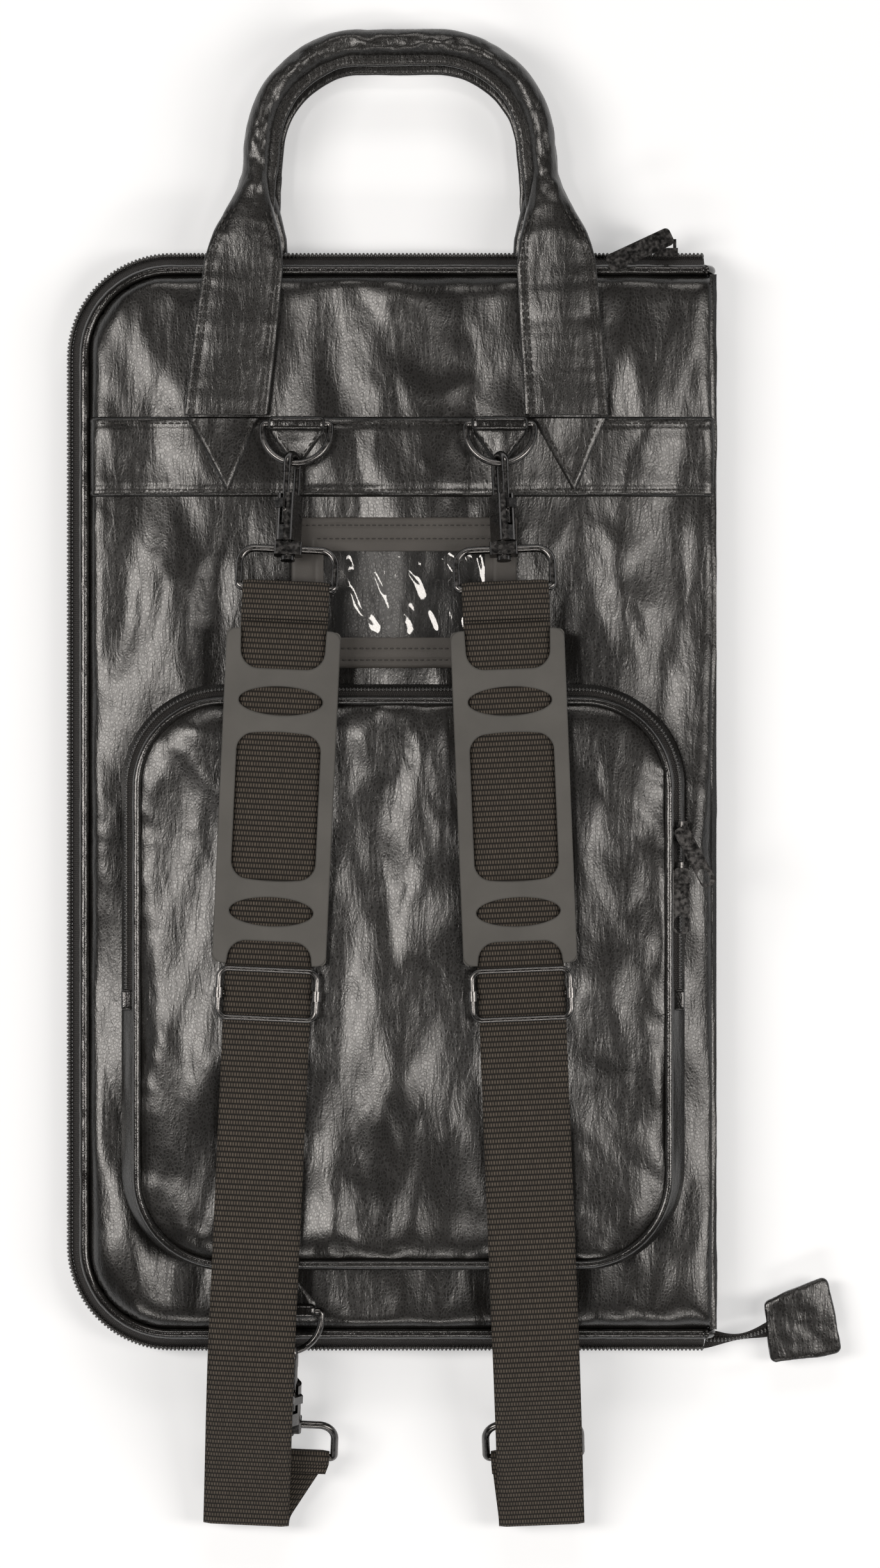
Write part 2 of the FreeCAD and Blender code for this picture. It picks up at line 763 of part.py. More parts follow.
def snap_hook(label, placement):
    """A bolt snap: hooked nose, barrel bored for the bolt, and a headed swivel post."""
    body = new_body(label)
    line = outline([(reach_x, -barrel_start - 1), (reach_x, eye_top), (-reach_x, eye_top),
                    (-reach_x, nose_y)], [0, reach_x - 0.01, reach_x - 0.01, 0], closed=False)
    pipe(body, line, circle(reach_x, 0, hook_wire), "XZ_Plane", "Sizes.barrel_start + 1", "Nose")
    outer = reach_x + hook_wire
    half = size("barrel_thick") / 2
    shape = rectangle(-outer - 0.6, -half, 2 * outer + 0.8, 2 * half, 3.0)
    pad(body, "XZ_Plane", shape, "Sizes.barrel_length", "Sizes.barrel_start", "Barrel")
    rod(body, "Additive", (0, -barrel_end + 0.2, 0), (0, -1, 0), size("post_radius"),
        0.2 + 2 * play + 2 * boss_half + size("head_length"), "Post")
    rod(body, "Additive", (0, -barrel_end - 2 * play - 2 * boss_half, 0), (0, -1, 0),
        size("head_radius"), size("head_length"), "Head")
    rod(body, "Additive", (2.4, -barrel_start - 8.0, -half - 0.4), (0, 0, 1), 1.3,
        2 * half + 0.8, "Rivet")
    pocket(body, "XZ_Plane", circle(-reach_x, 0, bolt_radius + fit),
           "Sizes.barrel_length - 1", "Sizes.barrel_start", "BoltBore", back=True)
    pocket(body, "XZ_Plane", rectangle(-outer - 1.0, -1.2, 2.6, 2.4), "14.5",
           "Sizes.barrel_start", "KnobSlot", back=True)
    body.Placement = placement


def snap_bolt(label, placement):
    """The spring bolt that shuts the hook, with its thumb knob."""
    body = new_body(label)
    rod(body, "Additive", (-reach_x, nose_y - 0.2, 0), (0, -1, 0), bolt_radius,
        bolt_end + nose_y + 0.2, "Bolt")
    block(body, (-reach_x - 4.6, -barrel_start - 6.5, -1.0), (4.6, 2.5, 2.0), "Neck")
    block(body, (-reach_x - 5.4, -barrel_start - 7.3, -2.0), (1.8, 4.1, 4.0), "Knob")
    body.Placement = placement


def swivel_loop(label, placement):
    """The webbing loop, whose boss turns on the hook's post."""
    body = new_body(label)
    half = size("loop_width") / 2 - loop_wire
    line = outline([(0, 0), (half, 0), (half, -loop_drop), (-half, -loop_drop), (-half, 0), (0, 0)],
                   [0, 7, 1.95, 1.95, 7, 0], closed=False)
    pipe(body, line, circle(0, 0, loop_wire), "YZ_Plane", "0", "Loop")
    boss = rectangle(-size("boss_width") / 2, -size("boss_thick") / 2, size("boss_width"),
                     size("boss_thick"), 1.5)
    pad(body, "XZ_Plane", boss, "Sizes.boss_height", "-Sizes.boss_height / 2", "Boss")
    pocket(body, "XZ_Plane", circle(0, 0, size("post_radius") + fit), "Sizes.boss_height + 2",
           "-Sizes.boss_height / 2 - 1", "PostBore", back=True)
    body.Placement = placement


# ---------------------------------------------------------------- straps
web_thick = size("web_thick")
wrap_in = loop_wire + 0.1
wrap_out = wrap_in + web_thick
strap_end_y = -half_length - size("strap_hang")
edge_y = -half_length - size("strap_edge")
strap_fold_z = front - size("fold_drop")
low_bar_y = -half_length - size("low_bar_hang")
strap_level = front + size("pocket_depth") + size("strap_gap") + size("pad_thick") / 2


def strap(label, placement, rise, low_bar):
    """Webbing from the top loop through the pad to a fold, and back to the lower loop."""
    body = new_body(label)
    bar_z = placement.Base.z
    bar_world_y = placement.Base.y
    edge = edge_y - bar_world_y
    fold = strap_end_y - bar_world_y
    fold_z = strap_fold_z - bar_z
    flap = -size("flap_length")
    turn = 2.6
    back_z = fold_z - 2 * turn - 0.4
    line = [(-6.0, 0.0), (flap - 1.5, rise), (edge, rise), (fold, fold_z)]
    line += [(fold - 0.8, back_z), (fold + 7.0, back_z)]
    web = ribbon(line, [0, 5, 60, turn, turn, 0], web_thick)
    run = pad(body, "YZ_Plane", web, "Sizes.web_width", "0", "Run")
    run.Midplane = True
    lower_x, lower_y, lower_z = low_bar
    half = size("web_width") / 2
    first = rectangle(-half, back_z - web_thick / 2, 2 * half, web_thick)
    second = rectangle(lower_x - half, lower_z - wrap_out + 0.1, 2 * half, web_thick)
    low_sketch = sketch_on(body, "XZ_Plane", first, str(-(fold + 6.9)), "ReturnStart")
    high_sketch = sketch_on(body, "XZ_Plane", second, str(-lower_y), "ReturnEnd")
    back = body.newObject("PartDesign::AdditiveLoft", "Return")
    back.Profile = low_sketch
    back.Sections = [high_sketch]
    back.Ruled = True
    doc.recompute()
    doubled = outline([(0, -wrap_out), (0, wrap_out), (flap, web_thick), (flap, -web_thick)],
                      [0, 0, 0.5, 0.5])
    top = pad(body, "YZ_Plane", doubled, "Sizes.web_width", "0", "Flap")
    top.Midplane = True
    for centre, name in (((0.0, 0.0, 0.0), "Top"), (low_bar, "Low")):
        start = (centre[0] - half, centre[1], centre[2])
        rod(body, "Additive", start, (1, 0, 0), wrap_out, 2 * half, name + "Wrap")
    for centre, name in (((0.0, 0.0, 0.0), "Top"), (low_bar, "Low")):
        start = (centre[0] - half - 1, centre[1], centre[2])
        rod(body, "Subtractive", start, (1, 0, 0), wrap_in, 2 * half + 2, name + "Eye")
    body.Placement = placement
    doc.recompute()
    return body


pad_top = top_ring_y - size("pad_drop")
pad_long = size("pad_length")
window_tall = pad_long - size("pad_window_drop") - size("pad_window_rise")
low_slot_drop = pad_long - size("pad_slot_rise") - size("pad_slot_low")
PAD_WINDOWS = ((size("pad_slot_drop"), size("pad_slot_high")), (size("pad_window_drop"), window_tall),
               (low_slot_drop, size("pad_slot_low")))


def shoulder_pad(label, placement, top_y):
    """A rubber pad with a channel for the webbing and windows in its outer skin."""
    body = new_body(label)
    half = size("pad_width") / 2
    long = pad_long
    pad(body, "XY_Plane", rectangle(-half, top_y - long, 2 * half, long, 7), "Sizes.pad_thick",
        "-Sizes.pad_thick / 2", "Slab")
    round_edges(body, lambda e: edge_level(e, "Z", size("pad_thick") / 2), 1.2)
    room = size("web_width") + 0.6
    pocket(body, "XY_Plane", rectangle(-room / 2, top_y - long - 1, room, long + 2),
           "Sizes.web_thick + 2 * Sizes.play", "0", "Channel", both=True)
    wide = room - 2.0
    for number, (drop, tall) in enumerate(PAD_WINDOWS):
        low = top_y - drop - tall
        pocket(body, "XY_Plane", rectangle(-wide / 2, low, wide, tall, 6.0), "Sizes.pad_thick / 2",
               "Sizes.pad_thick / 2", f"Window{number}")
    for number, low in enumerate((top_y - 17.5, top_y - long - 12.0)):
        tall = 29.5 if number == 0 else 22.0
        pocket(body, "XY_Plane", rectangle(-wide / 2, low, wide, tall, 8.0), "Sizes.pad_thick / 2",
               "Sizes.pad_thick / 2", f"Notch{number}")
    body.Placement = placement


glide_wire = size("glide_wire")
glide_gap = web_thick / 2 + 0.1 + glide_wire


def tri_glide(side, placement):
    """The wire frame over the webbing and the bar under it, crimped to the frame."""
    frame = new_body("glide_frame_" + side)
    half = size("glide_width") / 2 - glide_wire
    high = size("glide_height") / 2 - glide_wire
    line = outline([(0, high), (half, high), (half, -high), (-half, -high), (-half, high), (0, high)],
                   [0, 4, 4, 4, 4, 0], closed=False)
    pipe(frame, line, circle(high, 0, glide_wire), "YZ_Plane", "0", "Frame")
    lift = FreeCAD.Placement(Vec(0, 0, glide_gap), FreeCAD.Rotation())
    frame.Placement = placement.multiply(lift)
    bar = new_body("glide_bar_" + side)
    rod(bar, "Additive", (-half, 0, -glide_gap), (1, 0, 0), glide_wire, 2 * half, "Bar")
    for x in (-half, half):
        block(bar, (x - 1.4, -1.6, -glide_gap), (2.8, 3.2, 2 * glide_gap), "Ear")
        rod(bar, "Additive", (x, -2.2, glide_gap), (0, 1, 0), glide_wire + 0.9, 4.4, "Collar")
    for x in (-half, half):
        rod(bar, "Subtractive", (x, -3.0, glide_gap), (0, 1, 0), glide_wire + fit, 6.0, "WireEye")
    bar.Placement = placement


chains = {}
for side, values in SIDES.items():
    ring_lean = tilt(size("hook_tilt_top"))
    yaw = FreeCAD.Rotation(Vec(0, 0, 1), values["yaw"])
    lean = yaw.multiply(ring_lean)
    ring_base = Vec(values["ring"], top_ring_y, top_ring_z)
    d_ring("ring_top_" + side, FreeCAD.Placement(ring_base, ring_lean))
    eye = ring_base + ring_lean.multVec(Vec(0, -ring_drop, 0))
    eye.x = values["hook"]
    hook_place = FreeCAD.Placement(eye, lean.multiply(roll(values["top_roll"])))
    snap_hook("hook_top_" + side, hook_place)
    snap_bolt("bolt_top_" + side, hook_place)
    boss = eye + lean.multVec(Vec(0, -boss_y, 0))
    swivel_loop("loop_top_" + side, FreeCAD.Placement(boss, lean))
    bar = eye + lean.multVec(Vec(0, -bar_y, 0))
    place = FreeCAD.Placement(bar, yaw)
    rise = strap_level - bar.z
    local = place.inverse().multVec(Vec(values["low_bar"], low_bar_y, strap_fold_z))
    strap("strap_" + side, place, rise, local)
    level = place.multiply(FreeCAD.Placement(Vec(0, 0, rise), FreeCAD.Rotation()))
    shoulder_pad("pad_" + side, level, pad_top - bar.y)
    glide_y = pad_top - size("pad_length") - 1.0 - size("glide_height") / 2 - bar.y
    slide_place = level.multiply(FreeCAD.Placement(Vec(0, glide_y, 0), FreeCAD.Rotation()))
    tri_glide(side, slide_place)
    rise_low = yaw.multiply(tilt(-size("hook_tilt_low")))
    low_bar = place.multVec(local)
    low_boss = low_bar + rise_low.multVec(Vec(0, loop_drop, 0))
    swivel_loop("loop_low_" + side, FreeCAD.Placement(low_boss, rise_low))
    low_eye = low_bar + rise_low.multVec(Vec(0, bar_y, 0))
    low_place = FreeCAD.Placement(low_eye, rise_low.multiply(roll(values["low_roll"])))
    snap_hook("hook_low_" + side, low_place)
    snap_bolt("bolt_low_" + side, low_place)
    low_base = Vec(values["low_ring"], low_ring_y, low_ring_z)
    d_ring("ring_low_" + side, FreeCAD.Placement(low_base, FreeCAD.Rotation()))
    chains[side] = {"ring": ring_base, "eye": eye, "boss": boss, "bar": bar, "lean": lean,
                    "yaw": yaw, "glide": slide_place.Base, "low_bar": low_bar, "low_boss": low_boss,
                    "low_lean": rise_low, "low_eye": low_eye, "low_ring": low_base,
                    "hook_turn": hook_place.Rotation, "low_turn": low_place.Rotation}

# ---------------------------------------------------------------- zip sliders and pulls
MAIN_SLIDER_X = spine_x - size("slider_start")
channel = size("coil_height") + size("coil_gap") / 2 + play
main_slider = new_body("main_slider")
long = size("slider_length")
half = long / 2
plate = size("slider_plate")
lip = size("slider_lip")
bridge_wire = size("bridge_wire")
pull_eye = size("pull_eye")
block(main_slider, (-half, play, -channel - lip), (long, plate, 2 * (channel + lip)), "Plate")
for low in (-channel - lip, channel):
    block(main_slider, (-half, -size("slider_lap"), low), (long, size("slider_lap") + 0.4, lip), "Lip")
bridge_y = play + plate + size("bridge_rise")
post = 1.4
bridge_start = -half + 0.6
for x in (bridge_start, -bridge_start - post):
    block(main_slider, (x, play + 1.0, -1.3), (post, bridge_y - play, 2.6), "Post")
rod(main_slider, "Additive", (bridge_start, bridge_y, 0), (1, 0, 0), bridge_wire,
    -2 * bridge_start, "Bridge")
main_place = FreeCAD.Placement(Vec(MAIN_SLIDER_X, half_length, middle), FreeCAD.Rotation())
main_slider.Placement = main_place

pull_thick = size("pull_thick")
pull_rise = hinge_high + size("piping_radius") + 0.5 - middle
main_pull = new_body("main_pull")
rod(main_pull, "Additive", (-1.5, bridge_y, 0), (1, 0, 0), pull_eye, 3.0, "Eye")
block(main_pull, (-1.5, bridge_y + 0.2, 0), (3.0, 1.7, pull_rise + 0.2), "Stem")
direction = FreeCAD.Rotation(Vec(0, 0, 1), 180 + size("pull_turn"))


def pull_outline(turn, start, length, width):
    """A rounded tongue in plan, laid from a start point along a turned direction."""
    corners = []
    for x, y in ((0, -width / 2), (length, -width / 2), (length, width / 2), (0, width / 2)):
        point = turn.multVec(Vec(x - 2.0, y, 0))
        corners.append((start[0] + point.x, start[1] + point.y))
    return outline(corners, 2.2)


tongue = pull_outline(direction, (0, bridge_y + 0.8), size("pull_length"), size("pull_width"))
pad(main_pull, "XY_Plane", tongue, "Sizes.pull_thick", str(pull_rise), "Tongue")
rod(main_pull, "Subtractive", (-2.5, bridge_y, 0), (1, 0, 0), bridge_wire + fit, 5.0, "BridgeEye")
main_pull.Placement = main_place

POCKET_SLIDERS = (("upper", pocket_high - size("pocket_slider_upper"), -62.0),
                  ("lower", pocket_high - size("pocket_slider_lower"), -90.0))
pull_axis_z = 5.6
bridge_x = 0.8
zip_radius = size("pocket_zip_radius")
long = size("pocket_slider_length")
half = long / 2
bridge_start = -half + 0.1
for name, y, turn_angle in POCKET_SLIDERS:
    place = FreeCAD.Placement(Vec(zip_right, y, zip_level), FreeCAD.Rotation())
    slider = new_body("pocket_slider_" + name)
    block(slider, (-1.4, -half, zip_radius + play), (5.0, long, size("pocket_plate")), "Plate")
    block(slider, (zip_radius + play, -half, -1.2), (2.0, long, 2.8 + play), "Lip")
    for low in (bridge_start, -bridge_start - post):
        block(slider, (-0.2, low, 2.0), (2.0, post, pull_axis_z - 2.0), "Post")
    rod(slider, "Additive", (bridge_x, bridge_start, pull_axis_z), (0, 1, 0), bridge_wire,
        -2 * bridge_start, "Bridge")
    slider.Placement = place
    pull = new_body("pocket_pull_" + name)
    rod(pull, "Additive", (bridge_x, -1.5, pull_axis_z), (0, 1, 0), pull_eye, 3.0, "Eye")
    turn = FreeCAD.Rotation(Vec(0, 0, 1), turn_angle)
    level = pull_axis_z + 0.9
    tongue = pull_outline(turn, (bridge_x, 0), size("pull_length") - 2, size("pull_width") - 1)
    pad(pull, "XY_Plane", tongue, "Sizes.pull_thick", str(level), "Tongue")
    hole_start = size("pull_length") - 10.0
    hole = pull_outline(turn, tuple(turn.multVec(Vec(hole_start, 0, 0)))[:2], 7.0, 4.4)
    pocket(pull, "XY_Plane", hole, "5", str(level + 3), "Hole")
    rod(pull, "Subtractive", (bridge_x, -2.5, pull_axis_z), (0, 1, 0), bridge_wire + fit, 5.0, "BridgeEye")
    pull.Placement = place

# ---------------------------------------------------------------- tail of the main zip
tail_y = -(panel_half + 2 * size("piping_radius") + 0.2)
tape_level = middle - size("tail_drop")
tail_thick = size("tail_thick")
tail_width = size("tail_width")


def by_tail(points):
    """Places in plan measured from the spine's lower end, where the zip leaves the case."""
    return [(spine_x + x, tail_y + y) for x, y in points]


tail = new_body("zip_tail_tape")
pad(tail, "XY_Plane", ribbon(by_tail([(-1.5, -3.0), (16.0, -1.5), (29.0, 7.5)]), [0, 18, 0], tail_width),
    str(tail_thick), str(tape_level), "Tape")
tab = new_body("zip_tail_tab")
tab_corners = by_tail([(24.0, 15.3), (52.6, 27.5), (59.4, -7.4), (27.1, -12.2)])
tab_level = tape_level + tail_thick / 2 - size("tab_thick") / 2
pad(tab, "XY_Plane", outline(tab_corners, 3), "Sizes.tab_thick", str(tab_level), "Tab")
pocket(tab, "XY_Plane", ribbon(by_tail([(8.0, 0.0), (16.0, -1.5), (29.2, 7.6)]), [0, 18, 0],
       tail_width + 0.2), str(tail_thick + 0.2), str(tape_level + tail_thick + 0.1), "TapeSlot")

# ---------------------------------------------------------------- checks and export
doc.recompute()
for item in doc.Objects:
    if "Invalid" in item.State or "Error" in item.State:
        raise RuntimeError(f"{item.Name} failed: {item.State}")
os.makedirs("parts", exist_ok=True)
for node in nodes:
    shape = node.Shape
    if shape.isNull() or not shape.isValid():
        raise RuntimeError(f"{node.Label} has no valid shape")
    shape.exportStep(f"parts/{node.Label}.step")
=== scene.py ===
"""The looks of the drum stick bag: leather, zips, webbing and black-nickel fittings."""

import json
import math
import bpy
import numpy as np
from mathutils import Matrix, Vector


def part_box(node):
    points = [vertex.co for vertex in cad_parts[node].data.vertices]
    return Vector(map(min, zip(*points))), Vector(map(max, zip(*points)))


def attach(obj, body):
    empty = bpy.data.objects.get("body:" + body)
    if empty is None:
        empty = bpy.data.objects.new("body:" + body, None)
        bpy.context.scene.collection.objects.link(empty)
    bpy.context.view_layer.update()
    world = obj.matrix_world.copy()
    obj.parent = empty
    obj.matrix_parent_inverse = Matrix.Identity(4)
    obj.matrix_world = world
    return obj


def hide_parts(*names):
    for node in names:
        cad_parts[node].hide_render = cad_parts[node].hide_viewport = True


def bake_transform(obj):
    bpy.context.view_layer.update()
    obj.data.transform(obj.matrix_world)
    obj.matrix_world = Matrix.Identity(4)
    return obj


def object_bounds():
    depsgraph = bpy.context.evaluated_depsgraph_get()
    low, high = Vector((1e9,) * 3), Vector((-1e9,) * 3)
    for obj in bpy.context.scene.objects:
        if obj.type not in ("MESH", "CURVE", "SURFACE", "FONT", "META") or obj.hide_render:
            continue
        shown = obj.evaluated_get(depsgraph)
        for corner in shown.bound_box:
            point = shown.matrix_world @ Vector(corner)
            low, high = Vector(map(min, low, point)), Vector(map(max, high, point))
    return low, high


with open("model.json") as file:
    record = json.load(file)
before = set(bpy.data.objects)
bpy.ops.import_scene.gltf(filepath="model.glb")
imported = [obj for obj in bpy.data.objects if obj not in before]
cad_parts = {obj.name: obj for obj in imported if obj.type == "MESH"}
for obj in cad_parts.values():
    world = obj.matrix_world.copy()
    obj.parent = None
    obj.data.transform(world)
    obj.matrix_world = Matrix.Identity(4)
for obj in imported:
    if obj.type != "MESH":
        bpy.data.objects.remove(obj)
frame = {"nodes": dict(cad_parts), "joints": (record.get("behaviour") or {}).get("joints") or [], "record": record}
cad_box = [list(corner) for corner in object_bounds()]
MM = 0.001


# ------------------------------------------------------------ node material helpers
def new_material(name, color, rough, metallic=0.0, specular=0.5):
    mat = bpy.data.materials.new(name)
    mat.use_nodes = True
    shader = mat.node_tree.nodes["Principled BSDF"]
    shader.inputs["Base Color"].default_value = (*color, 1)
    shader.inputs["Roughness"].default_value = rough
    shader.inputs["Metallic"].default_value = metallic
    shader.inputs["Specular IOR Level"].default_value = specular
    return mat, mat.node_tree, shader


def node(tree, kind, links=(), **values):
    """Adds a node, sets its properties or inputs by name, and links its inputs."""
    made = tree.nodes.new(kind)
    for key, value in values.items():
        if hasattr(made, key):
            setattr(made, key, value)
        else:
            made.inputs[key.replace("_", " ")].default_value = value
    for name, source in links:
        tree.links.new(source, made.inputs[name])
    return made


def place(tree, scale=(1, 1, 1), rotate=(0, 0, 0)):
    """Object coordinates in millimetres, scaled and turned."""
    coords = node(tree, "ShaderNodeTexCoord")
    mapping = node(tree, "ShaderNodeMapping", [("Vector", coords.outputs["Object"])],
                   Scale=[1000 * s for s in scale], Rotation=rotate)
    return mapping.outputs["Vector"]


def cloud(tree, where, scale, detail, rough=0.5, twist=0.0, output="Fac"):
    """Soft layered noise."""
    made = node(tree, "ShaderNodeTexNoise", [("Vector", where)], Scale=scale, Detail=detail,
                Roughness=rough, Distortion=twist)
    return made.outputs[output]


def ramp(tree, source, low, high, first=(0, 0, 0), last=(1, 1, 1)):
    made = node(tree, "ShaderNodeValToRGB", [("Fac", source)])
    for stop, position, color in zip(made.color_ramp.elements, (low, high), (first, last)):
        stop.position = position
        stop.color = (*color, 1)
    return made.outputs["Color"]


def bump(tree, shader, height, distance, strength=1.0, under=None):
    """Raises the surface by a height, on top of an earlier bump if one is given."""
    links = [("Height", height)] + ([("Normal", under)] if under else [])
    made = node(tree, "ShaderNodeBump", links, Distance=distance, Strength=strength)
    tree.links.new(made.outputs["Normal"], shader.inputs["Normal"])
    return made.outputs["Normal"]


def roughen(tree, shader, source, **span):
    """Drives the roughness by a value, between the limits given."""
    gloss = node(tree, "ShaderNodeMapRange", [("Value", source)], **span)
    tree.links.new(gloss.outputs["Result"], shader.inputs["Roughness"])


def leather(name, grain=0.85, slack=1.0, crease=1.0, rough=(0.23, 0.33)):
    """Glossy black leather: slack hollows, long fine creases and a pebbled grain."""
    color = (0.0075, 0.007, 0.0065)
    mat, tree, shader = new_material(name, color, 0.3, specular=0.8)
    where = place(tree)
    hollow = cloud(tree, place(tree, (1.3, 0.55, 1), (0, 0, 0.3)), 0.02, 1.0, 0.4, 0.2)
    puffs = cloud(tree, place(tree, (1.2, 0.45, 1), (0, 0, -0.2)), 0.075, 1.5, 0.4, 0.3)
    streaks = cloud(tree, place(tree, (1.0, 0.22, 1.0), (0, 0, 0.35)), 0.32, 3.0, 0.55, 1.4)
    lines = ramp(tree, streaks, 0.36, 0.64)
    shifted = node(tree, "ShaderNodeVectorMath", [(0, where), (2, cloud(tree, where, 0.35, 2.0, output="Color"))],
                   operation="MULTIPLY_ADD")
    shifted.inputs[1].default_value = (1, 0.7, 1)
    cells = node(tree, "ShaderNodeTexVoronoi", [("Vector", shifted.outputs[0])],
                 feature="DISTANCE_TO_EDGE", Scale=grain)
    pebble = ramp(tree, cells.outputs["Distance"], 0.0, 0.3)
    under = None
    for height, depth in ((hollow, 0.0145 * slack), (puffs, 0.0007 * slack),
                          (lines, 0.00006 * crease), (pebble, 0.00002)):
        under = bump(tree, shader, height, depth, under=under)
    shade = ramp(tree, cloud(tree, where, 0.03, 4.0), 0.35, 0.7, color, [c * 1.7 + 0.002 for c in color])
    tree.links.new(shade, shader.inputs["Base Color"])
    roughen(tree, shader, pebble, To_Min=rough[1], To_Max=rough[0])
    return mat


def metal(name, color=(0.15, 0.146, 0.144), rough=0.2):
    """Black nickel: dark, mirror-like, a little worn."""
    mat, tree, shader = new_material(name, color, rough, metallic=1.0)
    scuffs = cloud(tree, place(tree), 0.6, 6.0)
    roughen(tree, shader, scuffs, From_Min=0.3, From_Max=0.7, To_Min=rough * 0.7, To_Max=rough * 1.8)
    bump(tree, shader, scuffs, 0.00003, 0.5)
    return mat


def woven(name, color, light, pitch=(2.4, 2.3), rough=0.75, gap=0.16, along=False):
    """Woven cloth: rows of small oval floats, painted paler as a painted highlight where they would catch the
    light; the gaps between them keep the cloth's own dark colour.
    """
    mat, tree, shader = new_material(name, color, rough, specular=0.3)
    if along:
        marks = node(tree, "ShaderNodeUVMap", uv_map="weave")
        where = node(tree, "ShaderNodeMapping", [("Vector", marks.outputs["UV"])],
                     Scale=(1 / pitch[0], 1 / pitch[1], 1)).outputs["Vector"]
    else:
        where = place(tree, (1 / pitch[0], 1 / pitch[1], 1 / pitch[0]))
    brick = node(tree, "ShaderNodeTexBrick", [("Vector", where)], Scale=1.0, Mortar_Size=gap,
                 Mortar_Smooth=1.0, Brick_Width=1.0, Row_Height=1.0, Color1=(1, 1, 1, 1),
                 Color2=(0.7, 0.7, 0.7, 1), Mortar=(0, 0, 0, 1))
    # painted highlight: the floats take the paler second colour, the gaps keep the cloth's own colour
    shade = node(tree, "ShaderNodeMix", [(0, brick.outputs["Color"])], data_type="RGBA")
    shade.inputs[6].default_value = (*color, 1)
    shade.inputs[7].default_value = (*light, 1)
    tree.links.new(shade.outputs[2], shader.inputs["Base Color"])
    height = node(tree, "ShaderNodeMath", [(0, cloud(tree, where, 5.0, 3.0)), (2, brick.outputs["Color"])],
                  operation="MULTIPLY_ADD")
    height.inputs[1].default_value = 0.3
    bump(tree, shader, height.outputs[0], 0.0004, 0.9)
    return mat


def matt(name, color, rough=0.6, grain=2.5, depth=0.00012, specular=0.4):
    """Moulded rubber or plastic with an even fine grain."""
    mat, tree, shader = new_material(name, color, rough, specular=specular)
    where = place(tree)
    shade = ramp(tree, cloud(tree, where, 0.05, 4.0), 0.3, 0.7, color, [c * 1.25 for c in color])
    tree.links.new(shade, shader.inputs["Base Color"])
    bump(tree, shader, cloud(tree, where, grain, 4.0), depth, 0.8)
    return mat


LEATHER = leather("grained_leather")
PIPING = leather("piping_leather", grain=1.3, slack=0.06, crease=0.8, rough=(0.14, 0.22))
HANDLE = leather("handle_leather", grain=1.1, slack=0.4, crease=1.2)
NICKEL = metal("black_nickel")
# the second colour of each woven cloth is a painted highlight on its floats, not a colour of the cloth
WEBBING = woven("webbing", (0.004, 0.0034, 0.003), (0.12, 0.10, 0.08), (1.2, 2.35), gap=0.36, along=True)
TAPE = woven("zip_tape", (0.008, 0.008, 0.008), (0.045, 0.041, 0.039), (0.9, 0.9))
LINING = woven("lining_nylon", (0.012, 0.012, 0.013), (0.03, 0.03, 0.032), (0.6, 0.6), 0.55)
RUBBER = matt("pad_rubber", (0.082, 0.079, 0.073), 0.6)
VINYL = matt("window_vinyl", (0.066, 0.061, 0.056), 0.5, 1.6)
FILM = matt("clear_film", (0.05, 0.05, 0.05), 0.05, 0.03, 0.0004, 1.0)
for key, value in (("Alpha", 0.42), ("Coat Weight", 1.0), ("IOR", 1.8)):
    FILM.node_tree.nodes["Principled BSDF"].inputs[key].default_value = value
COIL = matt("coil_nylon", (0.035, 0.034, 0.033), 0.22, specular=1.0)
THREAD = matt("thread", (0.035, 0.033, 0.031), 0.45)
ROPE = woven("rope_core", (0.35, 0.31, 0.25), (0.55, 0.5, 0.42), (1.5, 1.5))

DRESS = {"leather": LEATHER, "handle_leather": HANDLE, "piping": PIPING, "tape": TAPE, "coil": COIL,
         "lining": LINING, "sleeve": LINING, "vinyl": VINYL, "film": FILM, "core": ROPE,
         "hardware": NICKEL, "webbing": WEBBING, "rubber": RUBBER}
for part in frame["record"]["subparts"]:
    shown = frame["nodes"][part["node"]]
    for slot in shown.material_slots:
        slot.material = DRESS[part["material_slot"]]

# ------------------------------------------------------------ floor, light and camera
low, high = cad_box
bpy.ops.mesh.primitive_plane_add(size=6, location=(0, 0, min(low[2], 0.0)))
floor = bpy.context.object
floor.name = "floor"
white, tree, shader = new_material("white_floor", (0.82, 0.838, 0.862), 0.9, specular=0.1)
floor.data.materials.append(white)
rays = node(tree, "ShaderNodeLightPath")
first = node(tree, "ShaderNodeMath", [(0, rays.outputs["Is Camera Ray"]),
                                      (1, rays.outputs["Is Glossy Ray"])], operation="MAXIMUM")
seen = node(tree, "ShaderNodeMath", [(0, first.outputs[0]),
                                     (1, rays.outputs["Is Transmission Ray"])], operation="MAXIMUM")
dark = node(tree, "ShaderNodeEmission", Strength=0.0)
glow = node(tree, "ShaderNodeEmission", Strength=0.33)
lift = node(tree, "ShaderNodeMixShader", [(0, seen.outputs[0]), (1, dark.outputs[0]),
                                          (2, glow.outputs[0])])
both = node(tree, "ShaderNodeAddShader", [(0, shader.outputs[0]), (1, lift.outputs[0])])
tree.links.new(both.outputs[0], tree.nodes["Material Output"].inputs["Surface"])


def lamp(name, at, size, watts, aim=(0, 0, 0)):
    light = bpy.data.lights.new(name, "AREA")
    light.shape = "RECTANGLE"
    light.size, light.size_y = size
    light.energy = watts
    light.color = (1.0, 0.95, 0.90)
    made = bpy.data.objects.new(name, light)
    made.location = at
    made.rotation_euler = (Vector(at) - Vector(aim)).to_track_quat("Z", "Y").to_euler()
    bpy.context.collection.objects.link(made)


